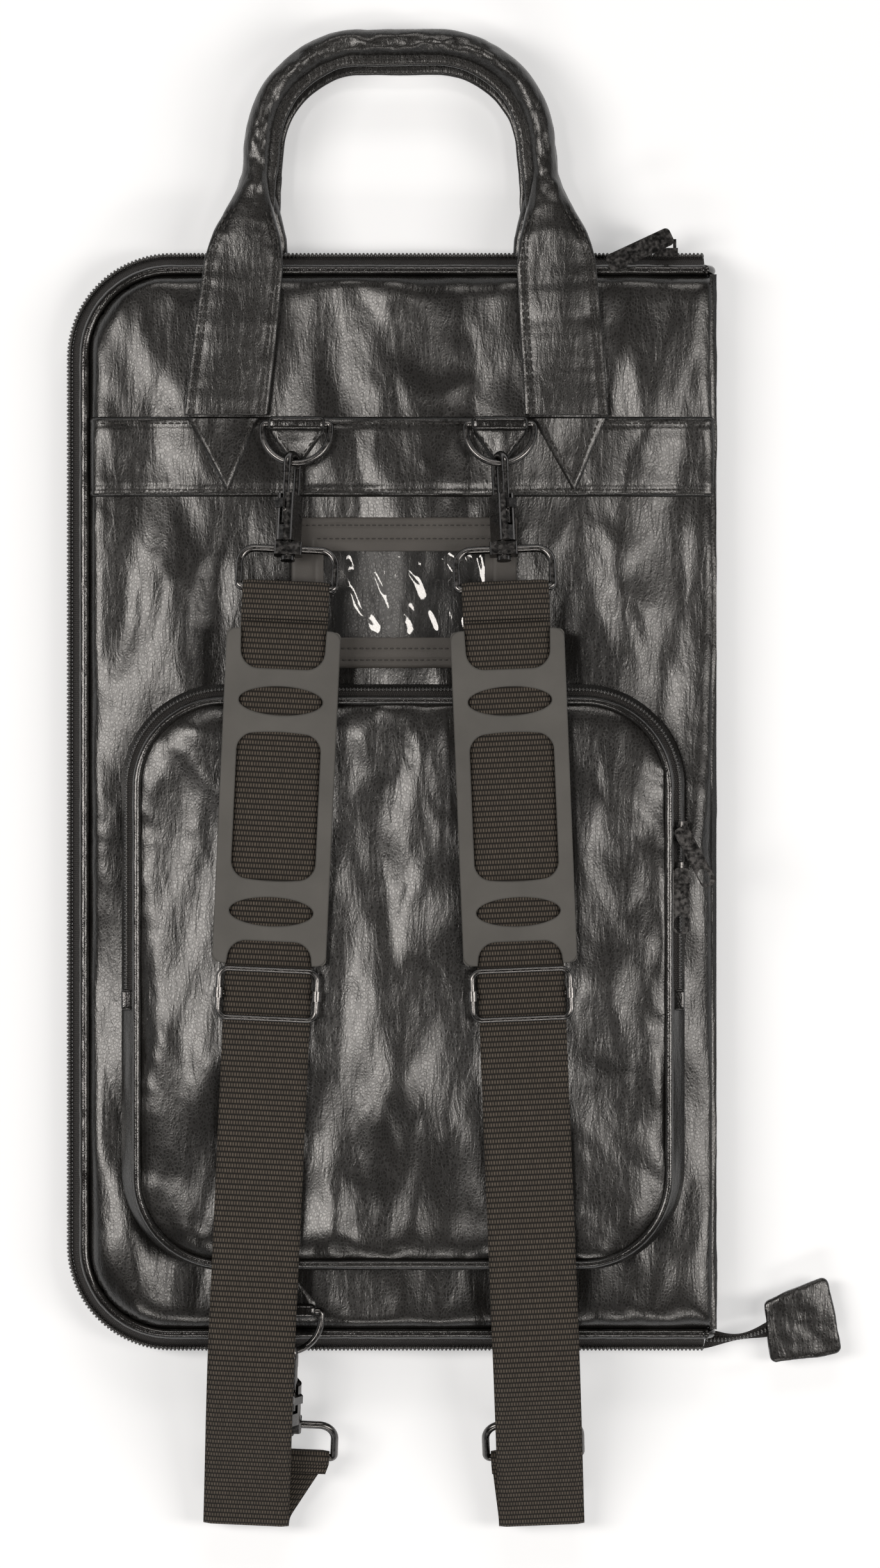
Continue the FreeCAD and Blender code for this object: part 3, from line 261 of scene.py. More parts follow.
lamp("soft_left", (-1.0, 0.1, 1.9), (0.5, 1.2), 20)
lamp("soft_right", (1.2, -0.15, 1.75), (0.45, 1.2), 15)
lamp("soft_top", (0.1, 1.6, 1.6), (1.0, 0.4), 6)
lamp("soft_low", (0.0, -1.6, 1.5), (1.0, 0.3), 7)
world = bpy.data.worlds.new("studio")
world.use_nodes = True
sky = world.node_tree
direction = node(sky, "ShaderNodeTexCoord")
split = node(sky, "ShaderNodeSeparateXYZ", [("Vector", direction.outputs["Generated"])])
shade = ramp(sky, split.outputs["Z"], 0.05, 0.42, (1, 1, 1), (0.025, 0.025, 0.025))
sky.links.new(shade, sky.nodes["Background"].inputs["Color"])
sky.nodes["Background"].inputs["Strength"].default_value = 1.0
bpy.context.scene.world = world
bpy.context.scene.view_settings.view_transform = "Standard"

# the whole frame is 693.5 mm high at the front panel, seen straight from above
VIEW_CENTRE = (0.0218, 0.0079)
VIEW_HEIGHT = 0.6935
CAMERA_UP = 2.6
PANEL_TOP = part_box("front_shell")[1][2]
camera = bpy.data.objects.new("camera", bpy.data.cameras.new("camera"))
camera.location = (*VIEW_CENTRE, CAMERA_UP)
camera.data.sensor_fit = "VERTICAL"
camera.data.sensor_height = 24.0
camera.data.lens = 24.0 * (CAMERA_UP - PANEL_TOP) / VIEW_HEIGHT
bpy.context.collection.objects.link(camera)
bpy.context.scene.camera = camera


# ------------------------------------------------------------ mesh helpers
def make_mesh(name, points, faces, material):
    mesh = bpy.data.meshes.new(name)
    mesh.from_pydata([tuple(p) for p in points], [], [tuple(f) for f in faces])
    mesh.validate()
    mesh.polygons.foreach_set("use_smooth", [True] * len(mesh.polygons))
    made = bpy.data.objects.new(name, mesh)
    bpy.context.collection.objects.link(made)
    mesh.materials.append(material)
    return made


def add(piece, body, slot_name, *replaced):
    """Rides a finished piece on its body, in the place of the named nodes."""
    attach(piece, body)
    if replaced:
        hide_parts(*replaced)
    return piece


def lattice(ix, iy, seed):
    """A repeatable random value at each whole-number place."""
    mixed = np.sin(ix * 127.1 + iy * 311.7 + seed * 74.7) * 43758.5453
    return mixed - np.floor(mixed)


def waves(x, y, seed=0, octaves=4, fade=0.5):
    """Smooth layered noise between about -1 and 1 over two arrays."""
    total = np.zeros_like(x)
    strength = 1.0
    for octave in range(octaves):
        fx, fy = np.floor(x), np.floor(y)
        tx, ty = x - fx, y - fy
        sx, sy = tx * tx * (3 - 2 * tx), ty * ty * (3 - 2 * ty)
        at = seed + octave * 17
        low_row = lattice(fx, fy, at) * (1 - sx) + lattice(fx + 1, fy, at) * sx
        high_row = lattice(fx, fy + 1, at) * (1 - sx) + lattice(fx + 1, fy + 1, at) * sx
        total += strength * (2 * (low_row * (1 - sy) + high_row * sy) - 1)
        x, y = x * 2.03 + 5.1, y * 2.03 + 1.7
        strength *= fade
    return total


def inside_distance(x, y, rect, radii):
    """How far each place lies inside a rectangle with a left and a right corner radius."""
    x0, y0, x1, y1 = rect
    cx, cy = (x0 + x1) / 2, (y0 + y1) / 2
    radius = np.where(x < cx, radii[0], radii[1])
    qx = np.abs(x - cx) - (x1 - x0) / 2 + radius
    qy = np.abs(y - cy) - (y1 - y0) / 2 + radius
    outer = np.hypot(np.maximum(qx, 0), np.maximum(qy, 0))
    return -(outer + np.minimum(np.maximum(qx, qy), 0) - radius)


def sheet_grid(rect, radii, step):
    """A grid over a rounded rectangle, with its rim drawn onto the outline."""
    x0, y0, x1, y1 = rect
    nx = int(round((x1 - x0) / step)) + 1
    ny = int(round((y1 - y0) / step)) + 1
    x, y = np.meshgrid(np.linspace(x0, x1, nx), np.linspace(y0, y1, ny), indexing="ij")
    far = inside_distance(x, y, rect, radii) < -step * 0.75
    for _ in range(3):
        depth = inside_distance(x, y, rect, radii)
        out = depth < 0
        gx = (inside_distance(x + 1e-5, y, rect, radii) - depth) / 1e-5
        gy = (inside_distance(x, y + 1e-5, rect, radii) - depth) / 1e-5
        x = np.where(out, x - gx * depth, x)
        y = np.where(out, y - gy * depth, y)
    index = np.arange(nx * ny).reshape(nx, ny)
    quads = np.stack([index[:-1, :-1], index[1:, :-1], index[1:, 1:], index[:-1, 1:]], -1)
    gone = far[:-1, :-1] | far[1:, :-1] | far[1:, 1:] | far[:-1, 1:]
    return x.ravel(), y.ravel(), quads[~gone].reshape(-1, 4)


def with_skirt(name, x, y, z, quads, drop_to, material, flip=False):
    """A sheet with a wall from its rim to one level, as a mesh with no loose points."""
    edges = {}
    for a, b, c, d in quads:
        for pair in ((a, b), (b, c), (c, d), (d, a)):
            if (pair[1], pair[0]) in edges:
                del edges[(pair[1], pair[0])]
            else:
                edges[pair] = True
    rim = sorted({v for pair in edges for v in pair})
    lower = {v: len(x) + i for i, v in enumerate(rim)}
    wall = np.array([(x[v], y[v], drop_to) for v in rim])
    points = np.vstack([np.stack([x, y, z], 1), wall])
    faces = [tuple(q) for q in quads] + [(b, a, lower[a], lower[b]) for a, b in edges]
    used = sorted({v for f in faces for v in f})
    renumber = {v: i for i, v in enumerate(used)}
    faces = [tuple(renumber[v] for v in f) for f in faces]
    if flip:
        faces = [f[::-1] for f in faces]
    return make_mesh(name, points[used], faces, material)


def unit(rows):
    """Each row of numbers, brought to length one."""
    return rows / (np.linalg.norm(rows, axis=1)[:, None] + 1e-12)


def reach_along(path):
    """How far along a line each of its points lies."""
    return np.concatenate([[0], np.cumsum(np.linalg.norm(np.diff(path, axis=0), axis=1))])


def places_at(path, reach, at):
    """The places at some distances along a line."""
    return np.stack([np.interp(at, reach, path[:, k]) for k in range(3)], 1)


def arc(x, y, radius, start, stop, steps):
    """Plan points round a centre, between two angles in degrees."""
    turns = [math.radians(start + (stop - start) * k / steps) for k in range(steps + 1)]
    return [(x + radius * math.cos(a), y + radius * math.sin(a)) for a in turns]


def corner_centres(x0, y0, x1, y1, radius):
    """The centres of a rounded rectangle's four corners, and the angle at which each starts."""
    return ((x1 - radius, y1 - radius, 0), (x0 + radius, y1 - radius, 90),
            (x0 + radius, y0 + radius, 180), (x1 - radius, y0 + radius, 270))


def tube(name, path, radius, material, sides=10, closed=False, wobble=0.0, seed=3):
    """A round cord along a list of points."""
    path = np.asarray(path, float)
    count = len(path)
    ahead = unit(np.roll(path, -1, 0) - np.roll(path, 1, 0) if closed else np.gradient(path, axis=0))
    side = np.cross(ahead, (0.0, 0.0, 1.0))
    weak = np.linalg.norm(side, axis=1) < 1e-3
    side[weak] = np.cross(ahead[weak], (1.0, 0, 0))
    side = unit(side)
    rise = np.cross(side, ahead)
    run = np.arange(count) * 0.35
    swell = 1 + wobble * waves(run, run * 0 + 0.5, seed, 3)
    turn = np.linspace(0, 2 * math.pi, sides, endpoint=False)
    rings = path[:, None] + radius * swell[:, None, None] * (
        np.cos(turn)[None, :, None] * side[:, None] + np.sin(turn)[None, :, None] * rise[:, None])
    faces = []
    for i in range(count if closed else count - 1):
        j = (i + 1) % count
        for k in range(sides):
            m = (k + 1) % sides
            faces.append((i * sides + k, i * sides + m, j * sides + m, j * sides + k))
    if not closed:
        faces.append(tuple(range(sides))[::-1])
        faces.append(tuple((count - 1) * sides + k for k in range(sides)))
    return make_mesh(name, rings.reshape(-1, 3), faces, material)


def strip(name, rows, material, closed=False):
    """A surface through rows of points with equal counts."""
    rows = np.asarray(rows, float)
    count, across = rows.shape[:2]
    index = np.arange(count * across).reshape(count, across)
    if closed:
        index = np.vstack([index, index[:1]])
    quads = np.stack([index[:-1, :-1], index[:-1, 1:], index[1:, 1:], index[1:, :-1]], -1)
    return make_mesh(name, rows.reshape(-1, 3), quads.reshape(-1, 4), material)


def resample(path, step):
    """Points at even steps along a line of points, with the direction at each."""
    path = np.asarray(path, float)
    reach = reach_along(path)
    count = max(int(reach[-1] / step), 1)
    at = (np.arange(count) + 0.5) * reach[-1] / count
    ahead = places_at(path, reach, at + 1e-4) - places_at(path, reach, at - 1e-4)
    return places_at(path, reach, at), unit(ahead)


def repeat(name, points, ahead, normals, shape, faces, material):
    """Copies of one small shape, turned along a line: shape is (along, across, out)."""
    normals = np.asarray(normals, float)
    if normals.ndim == 1:
        normals = np.repeat(normals[None], len(points), 0)
    across = unit(np.cross(normals, ahead))
    out = np.cross(ahead, across)
    shape = np.asarray(shape, float)
    placed = (points[:, None] + shape[None, :, 0:1] * ahead[:, None]
              + shape[None, :, 1:2] * across[:, None] + shape[None, :, 2:3] * out[:, None])
    size = len(shape)
    every = [tuple(v + i * size for v in f) for i in range(len(points)) for f in faces]
    return make_mesh(name, placed.reshape(-1, 3), every, material)


def spindle(length, width, height, sides=6):
    """A small rounded thread: a long bead with pointed ends sunk into the surface."""
    rings = ((-0.5, 0.25, -0.3), (-0.34, 0.85, 0.25), (0.0, 1.0, 0.4), (0.34, 0.85, 0.25), (0.5, 0.25, -0.3))
    shape, faces = [], []
    for along, wide, lift in rings:
        for k in range(sides):
            angle = 2 * math.pi * k / sides
            shape.append((along * length, math.cos(angle) * wide * width / 2,
                          math.sin(angle) * wide * height / 2 + lift * height))
    for i in range(len(rings) - 1):
        for k in range(sides):
            m = (k + 1) % sides
            faces.append((i * sides + k, (i + 1) * sides + k, (i + 1) * sides + m, i * sides + m))
    return shape, faces


def stitches(name, path, normal=(0, 0, 1), pitch=3.0 * MM, thick=0.55 * MM):
    """A run of stitches along a line on a surface."""
    points, ahead = resample(path, pitch)
    return repeat(name, points, ahead, normal, *spindle(pitch * 0.78, thick, thick), THREAD)


def zip_teeth(name, path, pitch, across, along, tall, sunk=0.0):
    """A row of zip teeth that lie across a line."""
    points, ahead = resample(path, pitch)
    shape, faces = spindle(across, along, tall, 8)
    shape = [(v, u, lift - sunk) for u, v, lift in shape]
    return repeat(name, points, ahead, (0, 0, 1), shape, faces, COIL)


def smooth_line(corners, rounds, z, step=2.0 * MM):
    """Points along straight runs and round corners in plan; closed if the ends meet."""
    line = []
    count = len(corners)
    for i, corner in enumerate(corners):
        here = Vector(corner)
        if i in (0, count - 1) or rounds[i] <= 0:
            line.append(here)
            continue
        into = (Vector(corners[i - 1]) - here).normalized()
        away = (Vector(corners[i + 1]) - here).normalized()
        half = into.angle(away) / 2
        middle = (into + away).normalized()
        centre = here + middle * (rounds[i] / math.sin(half))
        start = here + into * (rounds[i] / math.tan(half)) - centre
        stop = here + away * (rounds[i] / math.tan(half)) - centre
        steps = max(int(rounds[i] * (math.pi - 2 * half) / step), 3)
        sweep = start.angle_signed(stop)
        for k in range(steps + 1):
            turn = -sweep * k / steps
            line.append(centre + Vector((start.x * math.cos(turn) - start.y * math.sin(turn),
                                         start.x * math.sin(turn) + start.y * math.cos(turn))))
    points = np.array([(p.x, p.y, z) for p in line])
    even, _ = resample(points, step)
    return np.vstack([points[:1], even, points[-1:]])


# ------------------------------------------------------------ case: sizes from the frame
COIL_LOW, COIL_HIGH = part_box("front_zip_coil")
SHELL_LOW, SHELL_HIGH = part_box("front_shell")
BACK_LOW, BACK_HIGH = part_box("back_shell")
SPINE_LOW, SPINE_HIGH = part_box("spine_wrap")
CORNER = 47.0 * MM
INSET = SHELL_LOW[0] - COIL_LOW[0]
PANEL_CORNER = CORNER - INSET
PANEL_RECT = (SHELL_LOW[0], SHELL_LOW[1], SHELL_HIGH[0], SHELL_HIGH[1])
STEP = 2.2 * MM


def edge_creases(x, y, depth, rect, seed, reach=11 * MM, size=0.5 * MM):
    """Short slanting folds that run in from the piping, deepest at the rim and dying out."""
    x0, y0, x1, y1 = rect
    near_side = np.minimum(x - x0, x1 - x)
    near_end = np.minimum(y - y0, y1 - y)
    drift = waves(x / (40 * MM), y / (40 * MM), seed + 2, 2)
    across_side = waves(y / (12 * MM) + x / (17 * MM) + drift, x / (30 * MM) + drift, seed, 3)
    across_end = waves(x / (12 * MM) + y / (17 * MM) + drift, y / (30 * MM) + drift, seed + 5, 3)
    share = 1 / (1 + np.exp(np.clip((near_side - near_end) / (6 * MM), -30, 30)))
    pull = across_side * share + across_end * (1 - share)
    fade = np.clip(0.55 + 0.6 * waves(x / (45 * MM), y / (45 * MM), seed + 8, 2), 0, 1)
    return size * np.exp(-depth / reach) * pull * fade


def puckers(x, y, seed, size):
    """Slack leather: broad soft hollows, longer than wide, and a few tighter folds."""
    soft = waves(x / (34 * MM) + 0.25 * y / (34 * MM), y / (70 * MM), seed, 2, 0.4)
    bent = waves(x / (15 * MM) + 0.9 * soft, y / (34 * MM) + soft, seed + 9, 2, 0.4)
    return size * (0.8 * soft + 0.2 * (1 - 2 * np.abs(bent)))


# ------------------------------------------------------------ case panels and spine
PANEL_RADII = (PANEL_CORNER, 6 * MM)
FRONT_PANEL = (SHELL_HIGH[2], SHELL_LOW[2], 4)
BACK_PANEL = (BACK_LOW[2], BACK_HIGH[2], 11)


def crowned(depth, reach):
    """A rounded shoulder: 0 at the rim, and 1 from the reach inward."""
    return np.sqrt(1 - (1 - np.clip(depth / reach, 0, 1)) ** 2)


def panel_level(x, y, outer, edge, seed):
    """The level of one panel's leather at each place, with its folds."""
    depth = np.maximum(inside_distance(x, y, PANEL_RECT, PANEL_RADII), 0)
    sign = 1 if outer > edge else -1
    z = edge + sign * (abs(outer - edge) - 1.2 * MM) * crowned(depth, 11 * MM)
    fold = (puckers(x, y, seed, 1.3 * MM) - 1.0 * MM) * np.clip(depth / (8 * MM), 0, 1)
    z = z + sign * (fold + edge_creases(x, y, depth, PANEL_RECT, seed))
    return np.maximum(z, outer + 0.05 * MM) if sign < 0 else z


def leather_panel(name, body, node_name, outer, edge, seed):
    """One padded panel: crowned inside its piping, rolled over towards the spine."""
    x, y, quads = sheet_grid(PANEL_RECT, PANEL_RADII, STEP)
    sign = 1 if outer > edge else -1
    level = panel_level(x, y, outer, edge, seed)
    piece = with_skirt(name, x, y, level, quads, edge - sign * 2.4 * MM, LEATHER, flip=sign < 0)
    add(piece, body, "leather", node_name)


def front_level(x, y):
    """The front leather's level at each place."""
    return panel_level(x, y, *FRONT_PANEL)


leather_panel("front_leather", "case_front", "front_shell", *FRONT_PANEL)
leather_panel("back_leather", "case_back", "back_shell", *BACK_PANEL)


def spine_half(name, z_from, z_to):
    """Half of the leather that wraps round the spine, from one hinge to the middle."""
    rows = []
    z = np.linspace(z_from, z_to, 14)
    inner = SPINE_HIGH[0] - 3.2 * MM
    for y in np.linspace(SPINE_LOW[1], SPINE_HIGH[1], 230):
        side = waves(z / (9 * MM), z * 0 + y / (16 * MM), 21, 3) * 0.35 * MM
        x = np.concatenate([[inner], SPINE_HIGH[0] + side - 0.25 * MM, [inner]])
        rows.append(np.stack([x, np.full(len(x), y), np.concatenate([z[:1], z, z[-1:]])], 1))
    piece = strip(name, rows, LEATHER)
    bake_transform(piece)
    return piece


LOW_HINGE, HIGH_HINGE = BACK_HIGH[2], SHELL_LOW[2]
MIDDLE = (LOW_HINGE + HIGH_HINGE) / 2
low_spine = spine_half("spine_leather_low", LOW_HINGE - 4 * MM, MIDDLE)
spine_half("spine_leather_high", MIDDLE, HIGH_HINGE + 4 * MM)
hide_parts("spine_wrap")


def case_line(inset, z):
    """The case's outline from the spine's top end round to its bottom end, moved inward."""
    low, high = COIL_LOW, COIL_HIGH
    corners = [(high[0], high[1] - inset), (low[0] + inset, high[1] - inset),
               (low[0] + inset, low[1] + inset), (high[0], low[1] + inset)]
    return smooth_line(corners, [0, CORNER - inset, CORNER - inset, 0], z)


def at_shares(line, shares):
    """The places at some shares of a line's length."""
    reach = reach_along(line)
    return places_at(line, reach, shares * reach[-1])


PIPE_INSET = 8.5 * MM
PIPE_RADIUS = 2.3 * MM
for label, shell_z, sign in (("front", SHELL_LOW[2], -1), ("back", BACK_HIGH[2], 1)):
    body = "case_" + label
    welt = tube(label + "_welt", case_line(PIPE_INSET, shell_z), PIPE_RADIUS, PIPING, 12, wobble=0.07, seed=8)
    add(welt, body, "piping", label + "_piping")
    shares = np.linspace(0, 1, 640)
    a = at_shares(case_line(2.6 * MM, shell_z + sign * 8.6 * MM), shares)
    b = at_shares(case_line(PIPE_INSET - 1.0 * MM, shell_z - sign * 0.2 * MM), shares)
    lean = np.linspace(0, 1, 6)[None, :, None]
    face = a[:, None] * (1 - lean) + b[:, None] * lean
    face[:, :, 2] += sign * -0.5 * MM * np.sin(np.pi * lean[:, :, 0])
    add(strip(label + "_zip_cloth", face, TAPE), body, "tape", label + "_zip_tape")
    coil_low, coil_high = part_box(label + "_zip_coil")
    coil_z = (coil_low[2] + coil_high[2]) / 2
    teeth = zip_teeth(label + "_zip_teeth", case_line(1.35 * MM, coil_z), 1.75 * MM,
                      2.7 * MM, 1.3 * MM, 2.3 * MM, 0.35 * MM)
    add(teeth, body, "coil", label + "_zip_coil")
    add(tube(label + "_zip_core", case_line(1.6 * MM, coil_z), 0.75 * MM, COIL, 8), body, "coil")


def welt_half(name, z_from, z_to, first):
    """The piping that rounds both ends of the spine; it blends from 1 mm before the hinge."""
    made = []
    for end_name, y in (("top", COIL_HIGH[1] - PIPE_INSET), ("bottom", -(COIL_HIGH[1] - PIPE_INSET))):
        line = []
        for share in np.linspace(0, 1, 16):
            bend = share if first == "case_back" else 1 - share
            x = 139.0 * MM + 3.0 * MM * math.sin(min(bend * 1.6, 1) * math.pi / 2)
            line.append((x, y, z_from + (z_to - z_from) * share))
        piece = tube(f"{name}_{end_name}", line, PIPE_RADIUS, PIPING, 12)
        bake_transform(piece)
        made.append(piece)
    return made


low_welts = welt_half("spine_welt_low", LOW_HINGE - 0.2 * MM, MIDDLE, "case_back")
welt_half("spine_welt_high", MIDDLE, HIGH_HINGE + 0.2 * MM, "spine")
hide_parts("spine_piping")


# ------------------------------------------------------------ pocket
BAG_LOW, BAG_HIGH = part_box("pocket_bag")
BAG_CORNER = 45 * MM


def rounded_loop(rect, radius, z, per_corner=22, per_side=70):
    """A closed outline whose points match those of any other one made the same way."""
    points = []
    centres = corner_centres(*rect, radius)
    for k, (cx, cy, start) in enumerate(centres):
        points += arc(cx, cy, radius, start, start + 90, per_corner)
        nx, ny, turn = centres[(k + 1) % 4]
        a, b = points[-1], arc(nx, ny, radius, turn, turn, 1)[0]
        points += [(a[0] + (b[0] - a[0]) * i / per_side, a[1] + (b[1] - a[1]) * i / per_side)
                   for i in range(1, per_side)]
    return np.array([(x, y, z) for x, y in points])


def bag_loop(inset, z):
    """The pocket's outline moved inward from its base; the bottom leans half as much."""
    rect = (BAG_LOW[0] + inset, BAG_LOW[1] + inset * 0.5, BAG_HIGH[0] - inset, BAG_HIGH[1] - inset)
    return rounded_loop(rect, BAG_CORNER - inset * 0.9, z)


SEAM_INSET = 7.6 * MM
SEAM_LEVEL = BAG_HIGH[2] - 0.5 * MM
FACE_RECT = (BAG_LOW[0] + SEAM_INSET, BAG_LOW[1] + 0.6 * SEAM_INSET,
             BAG_HIGH[0] - SEAM_INSET, BAG_HIGH[1] - SEAM_INSET)
FACE_RADII = (BAG_CORNER - SEAM_INSET, BAG_CORNER - SEAM_INSET)
FACE_LIMIT = 55.3 * MM


def pocket_level(x, y):
    """The pocket's slack face: crowned, softly puckered and creased in from its rim, and held under a top limit.
    """
    depth = np.maximum(inside_distance(x, y, FACE_RECT, FACE_RADII), 0)
    z = SEAM_LEVEL - 1.4 * MM + 3.6 * MM * crowned(depth, 15 * MM)
    soft = puckers(x, y, 31, 2.0 * MM) * np.clip(depth / (9 * MM), 0, 1)
    return np.minimum(z + soft + edge_creases(x, y, depth, FACE_RECT, 14, 22 * MM, 1.1 * MM), FACE_LIMIT)


x, y, quads = sheet_grid(FACE_RECT, FACE_RADII, STEP)
bag_face = with_skirt("pocket_face", x, y, pocket_level(x, y), quads, SEAM_LEVEL - 2.2 * MM, LEATHER)
add(bag_face, "case_front", "leather", "pocket_bag")
rows = []
for share in np.linspace(0, 1, 9):
    middle = math.sin(math.pi * share)
    level = BAG_LOW[2] + 0.3 * MM + (SEAM_LEVEL - BAG_LOW[2]) * (0.15 * share + 0.85 * share ** 0.8)
    loop = bag_loop(SEAM_INSET * share + 0.8 * MM * middle, level)
    run = np.arange(len(loop)) * 0.05
    loop[:, 2] += 0.5 * MM * waves(run, run * 0 + share * 3, 44, 3) * middle
    rows.append(loop)
add(strip("pocket_gusset", np.stack(rows, 1), LEATHER, closed=True), "case_front", "leather")
welt = tube("pocket_welt", bag_loop(SEAM_INSET - 0.2 * MM, SEAM_LEVEL + 0.3 * MM), 1.9 * MM, PIPING, 12,
            closed=True, wobble=0.06)
add(welt, "case_front", "piping", "pocket_piping")


# ------------------------------------------------------------ bands and tongues
def joint(name):
    return next(j for j in frame["joints"] if j["name"] == name)


def joint_at(name):
    return Vector(joint(name)["pos_m"])


BAND_LOW, BAND_HIGH = 135.0 * MM, 170.5 * MM


def band(name, body, node_name, panel, sign, base):
    """A leather band sewn across a panel, with folded edges and light puckers."""
    rect = (PANEL_RECT[0] + 0.5 * MM, BAND_LOW, PANEL_RECT[2] - 0.3 * MM, BAND_HIGH)
    x, y, quads = sheet_grid(rect, (0.5 * MM, 0.5 * MM), 1.6 * MM)
    edge = np.minimum(y - rect[1], rect[3] - y)
    lift = 1.5 * MM * np.sqrt(np.clip(edge / (1.6 * MM), 0, 1))
    lift = lift - 0.55 * MM * np.exp(-((edge - 3.2 * MM) / (1.1 * MM)) ** 2)
    ripple = waves(x / (19 * MM), y / (50 * MM), 51, 2) * 0.35 * MM
    z = panel_level(x, y, *panel) + sign * (lift + ripple * np.clip(edge / (5 * MM), 0, 1))
    if sign < 0:
        z = np.maximum(z, 0.05 * MM)
    add(with_skirt(name, x, y, z, quads, base, LEATHER, flip=sign < 0), body, "leather", node_name)


band("front_band_leather", "case_front", "front_band", FRONT_PANEL, 1, SHELL_LOW[2] + 2 * MM)
band("back_band_leather", "case_back", "back_band", BACK_PANEL, -1, BACK_HIGH[2] - 2 * MM)


def on_front(points, lift):
    """Plan points laid on the front leather, a little above it."""
    return np.column_stack([points, front_level(points[:, 0], points[:, 1]) + lift])


def dense(points, step=1.5 * MM):
    """A straight-run line through plan points, cut fine."""
    return resample([(u, v, 0.0) for u, v in points], step)[0][:, :2]


def flap_row(px, py, u, half, level, height, roll):
    """One row across a sewn-down flap of leather, rolled over at both edges."""
    edge = np.clip((1 - np.abs(u)) * half / roll, 0, 1) ** 0.5
    return np.column_stack([px, py, level + height * edge])


seam_runs = []
for y_run in (BAND_LOW + 3.0 * MM, BAND_HIGH - 3.0 * MM):
    line = dense([(PANEL_RECT[0] + 4 * MM, y_run), (PANEL_RECT[2] - 4 * MM, y_run)])
    seam_runs.append(on_front(line, 1.6 * MM))
TONGUES = ((-74.0 * MM, -72.2 * MM), (79.0 * MM, 81.3 * MM))
ACROSS = np.linspace(-1, 1, 15)
for k, (top_x, tip_x) in enumerate(TONGUES):
    half, top_y, tip_y = 16.0 * MM, BAND_HIGH - 1.0 * MM, BAND_LOW + 3.0 * MM
    rows = []
    for share in np.linspace(0, 1, 30):
        reach = half * (1 - share) + 0.6 * MM * share
        px = top_x + (tip_x - top_x) * share + ACROSS * reach
        py = np.full(15, top_y + (tip_y - top_y) * share)
        rows.append(flap_row(px, py, ACROSS, reach, front_level(px, py) + 1.7 * MM, 1.1 * MM, 1.6 * MM))
    add(strip(f"band_tongue_{k}", rows, LEATHER), "case_front", "leather")
    for side in (-1, 1):
        line = dense([(top_x + side * (half - 2.6 * MM), top_y), (tip_x, tip_y + 4.5 * MM)])
        seam_runs.append(on_front(line, 2.9 * MM))
for k, run in enumerate(seam_runs):
    add(stitches(f"band_stitches_{k}", run, thick=0.8 * MM), "case_front", "leather")


# ------------------------------------------------------------ handles
GRIP_R = 5.9 * MM
HANDLE_CORNERS = ((-72.9, 170.9), (-64.6, 240.5), (-61.0, 268.0), (-55.0, 336.1), (63.0, 336.1),
                  (69.0, 268.0), (73.0, 240.5), (77.9, 170.9))
HANDLE_ROUNDS = (0, 0.08, 0.06, 0.047, 0.047, 0.06, 0.08, 0)
SEWN_Y, GRIP_Y = 0.1709, 0.262  # where the legs are sewn down, and where the rolled grip starts


